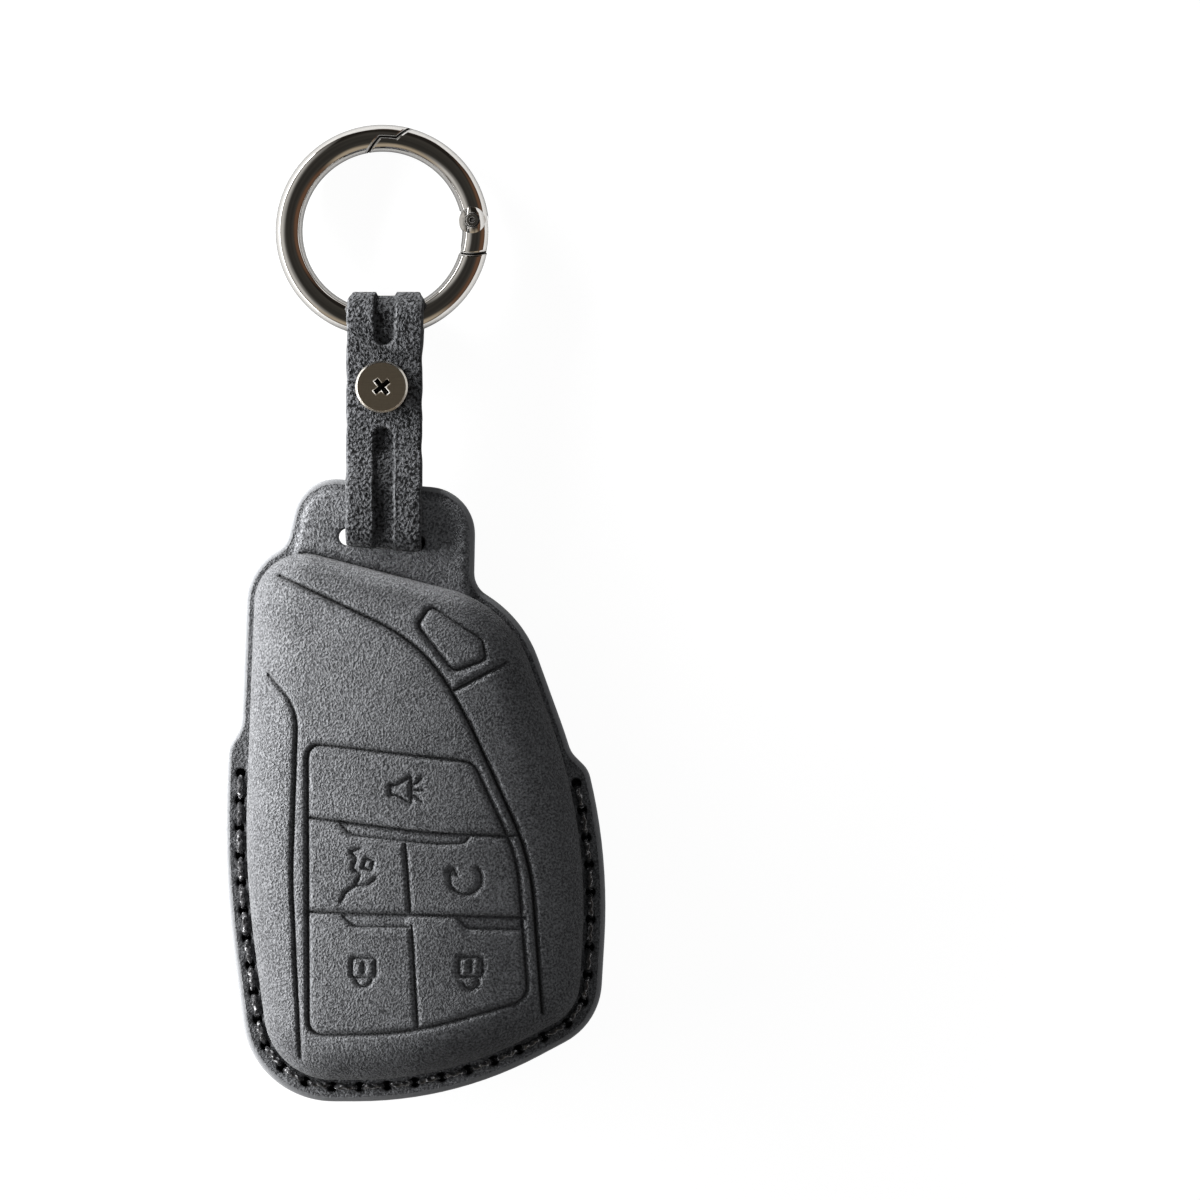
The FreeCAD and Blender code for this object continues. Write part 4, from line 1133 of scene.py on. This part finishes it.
for name, side, node in (("front_thread", 1, "front_stitches"), ("back_thread", -1, "back_stitches")):
    runs = finish_piece(name, thread_runs(side), thread_wax, crease=80.0)
    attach(runs, "case")
    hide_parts(node)

strap = finish_piece("strap", make_strap(), strap_suede)
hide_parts("strap_slot_loop", "strap_ring_loop")
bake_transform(strap)

coil = finish_piece("gate_coil", make_coil(), steel, crease=80.0)
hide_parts("gate_spring")
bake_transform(coil)

FINISHES = {
    "cap_screw": dark_nickel,
    "screw_post": dark_nickel,
    "ring_body": nickel,
    "ring_gate": nickel,
    "gate_pin": rivet,
    "spring_plunger": steel,
}
for node, material in FINISHES.items():
    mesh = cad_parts[node].data
    for index in range(max(1, len(mesh.materials))):
        if index < len(mesh.materials):
            mesh.materials[index] = material
        else:
            mesh.materials.append(material)


def lay_floor():
    """Pale table with a soft shadow, nearly white to the camera, and grey near the part in the plating, a
    painted contact shadow.
    """
    bm = bmesh.new()
    bmesh.ops.create_grid(bm, x_segments=1, y_segments=1, size=3.0)
    mesh = bpy.data.meshes.new("table_top")
    bm.to_mesh(mesh)
    bm.free()
    table = bpy.data.objects.new("table_top", mesh)
    table.location.z = -0.00002
    bpy.context.scene.collection.objects.link(table)
    material, tree, shader = new_material("table_white")
    path = add_node(tree, "ShaderNodeLightPath").outputs
    direct = calc(tree, "MAXIMUM", path["Is Camera Ray"], path["Is Transmission Ray"])
    shade_from_occlusion = add_node(tree, "ShaderNodeAmbientOcclusion", {"Distance": 0.02}, samples=6).outputs["AO"]
    # In the plating the table's glow is painted darker near the part: a contact shadow from ambient
    # occlusion.
    mirrored = calc(tree, "MULTIPLY", path["Is Glossy Ray"], ramped(tree, shade_from_occlusion, 0.7, 0.985, 0.12, 0.86))
    feed(tree, shader, {
        "Base Color": (0.12, 0.12, 0.12, 1),
        "Roughness": 0.9,
        "Emission Color": (1, 1, 1, 1),
        "Emission Strength": calc(tree, "MAXIMUM", calc(tree, "MULTIPLY", direct, 0.955), mirrored),
    })
    mesh.materials.append(material)


def light_room():
    """Soft studio light from the left, and a room that is dark overhead for the metal to show."""
    world = bpy.data.worlds.new("studio")
    bpy.context.scene.world = world
    world.use_nodes = True
    tree = world.node_tree
    place = add_node(tree, "ShaderNodeTexCoord").outputs["Generated"]
    ways = add_node(tree, "ShaderNodeSeparateXYZ", {0: place}).outputs
    drift = calc(tree, "MULTIPLY_ADD", noise(tree, place, 2.4, Detail=1.0), 0.5, -0.25)
    level = calc(tree, "ADD", ways["Z"], drift)
    ramp = add_node(tree, "ShaderNodeValToRGB", {"Fac": level})
    stops = ramp.color_ramp.elements
    stops[0].color = (*ROOM_TONES[0][1], 1)
    stops[1].color = (*ROOM_TONES[-1][1], 1)
    for height, tone in ROOM_TONES[1:-1]:
        stops.new(height).color = (*tone, 1)
    room = ramp.outputs["Color"]
    below = ramped(tree, level, 0.9, 0.55)
    above = ramped(tree, level, 0.1, 0.3)
    for way, edge, tone in ROOM_PANELS:
        side = calc(tree, "MULTIPLY", ramped(tree, ways[way], *edge), below)
        room = mixed(tree, calc(tree, "MULTIPLY", side, above), room, tone)
    path = add_node(tree, "ShaderNodeLightPath").outputs
    shown = mixed(tree, path["Is Glossy Ray"], ROOM_FILL, room)
    direct = calc(tree, "MAXIMUM", path["Is Camera Ray"], path["Is Transmission Ray"])
    feed(tree, tree.nodes["Background"], {"Color": mixed(tree, direct, shown, (1, 1, 1))})
    hang_lamp("key_light", *KEY_LAMP)
    hang_lamp("side_fill", *FILL_LAMP)
    strip = hang_lamp("edge_strip", *STRIP_LAMP)
    strip.visible_glossy = True
    strip.visible_diffuse = False


def hang_lamp(name, way, distance, sizes, power):
    """Soft lamp aimed at the cover; plating doesn't show it."""
    lamp = bpy.data.lights.new(name, "AREA")
    lamp.shape = "RECTANGLE"
    lamp.size, lamp.size_y = sizes
    lamp.energy = power
    turn, climb = (math.radians(angle) for angle in way)
    line = Vector((math.cos(climb) * math.cos(turn), math.cos(climb) * math.sin(turn), math.sin(climb)))
    holder = bpy.data.objects.new(name, lamp)
    holder.location = LAMP_AIM + line * distance
    holder.rotation_euler = (-line).to_track_quat("-Z", "Y").to_euler()
    holder.visible_glossy = False
    bpy.context.scene.collection.objects.link(holder)
    return holder


def set_camera():
    """Straight above the picture's centre, with a long lens."""
    data = bpy.data.cameras.new("camera")
    data.sensor_width = SENSOR
    data.lens = SENSOR * (CAMERA_HEIGHT - FACE_HEIGHT) / FACE_WIDTH
    camera = bpy.data.objects.new("camera", data)
    middle = at_photo((600, 600))[0]
    camera.location = (middle[0] * MM, middle[1] * MM, CAMERA_HEIGHT)
    bpy.context.scene.collection.objects.link(camera)
    bpy.context.scene.camera = camera


lay_floor()
light_room()
set_camera()
bpy.context.scene.view_settings.view_transform = "Standard"
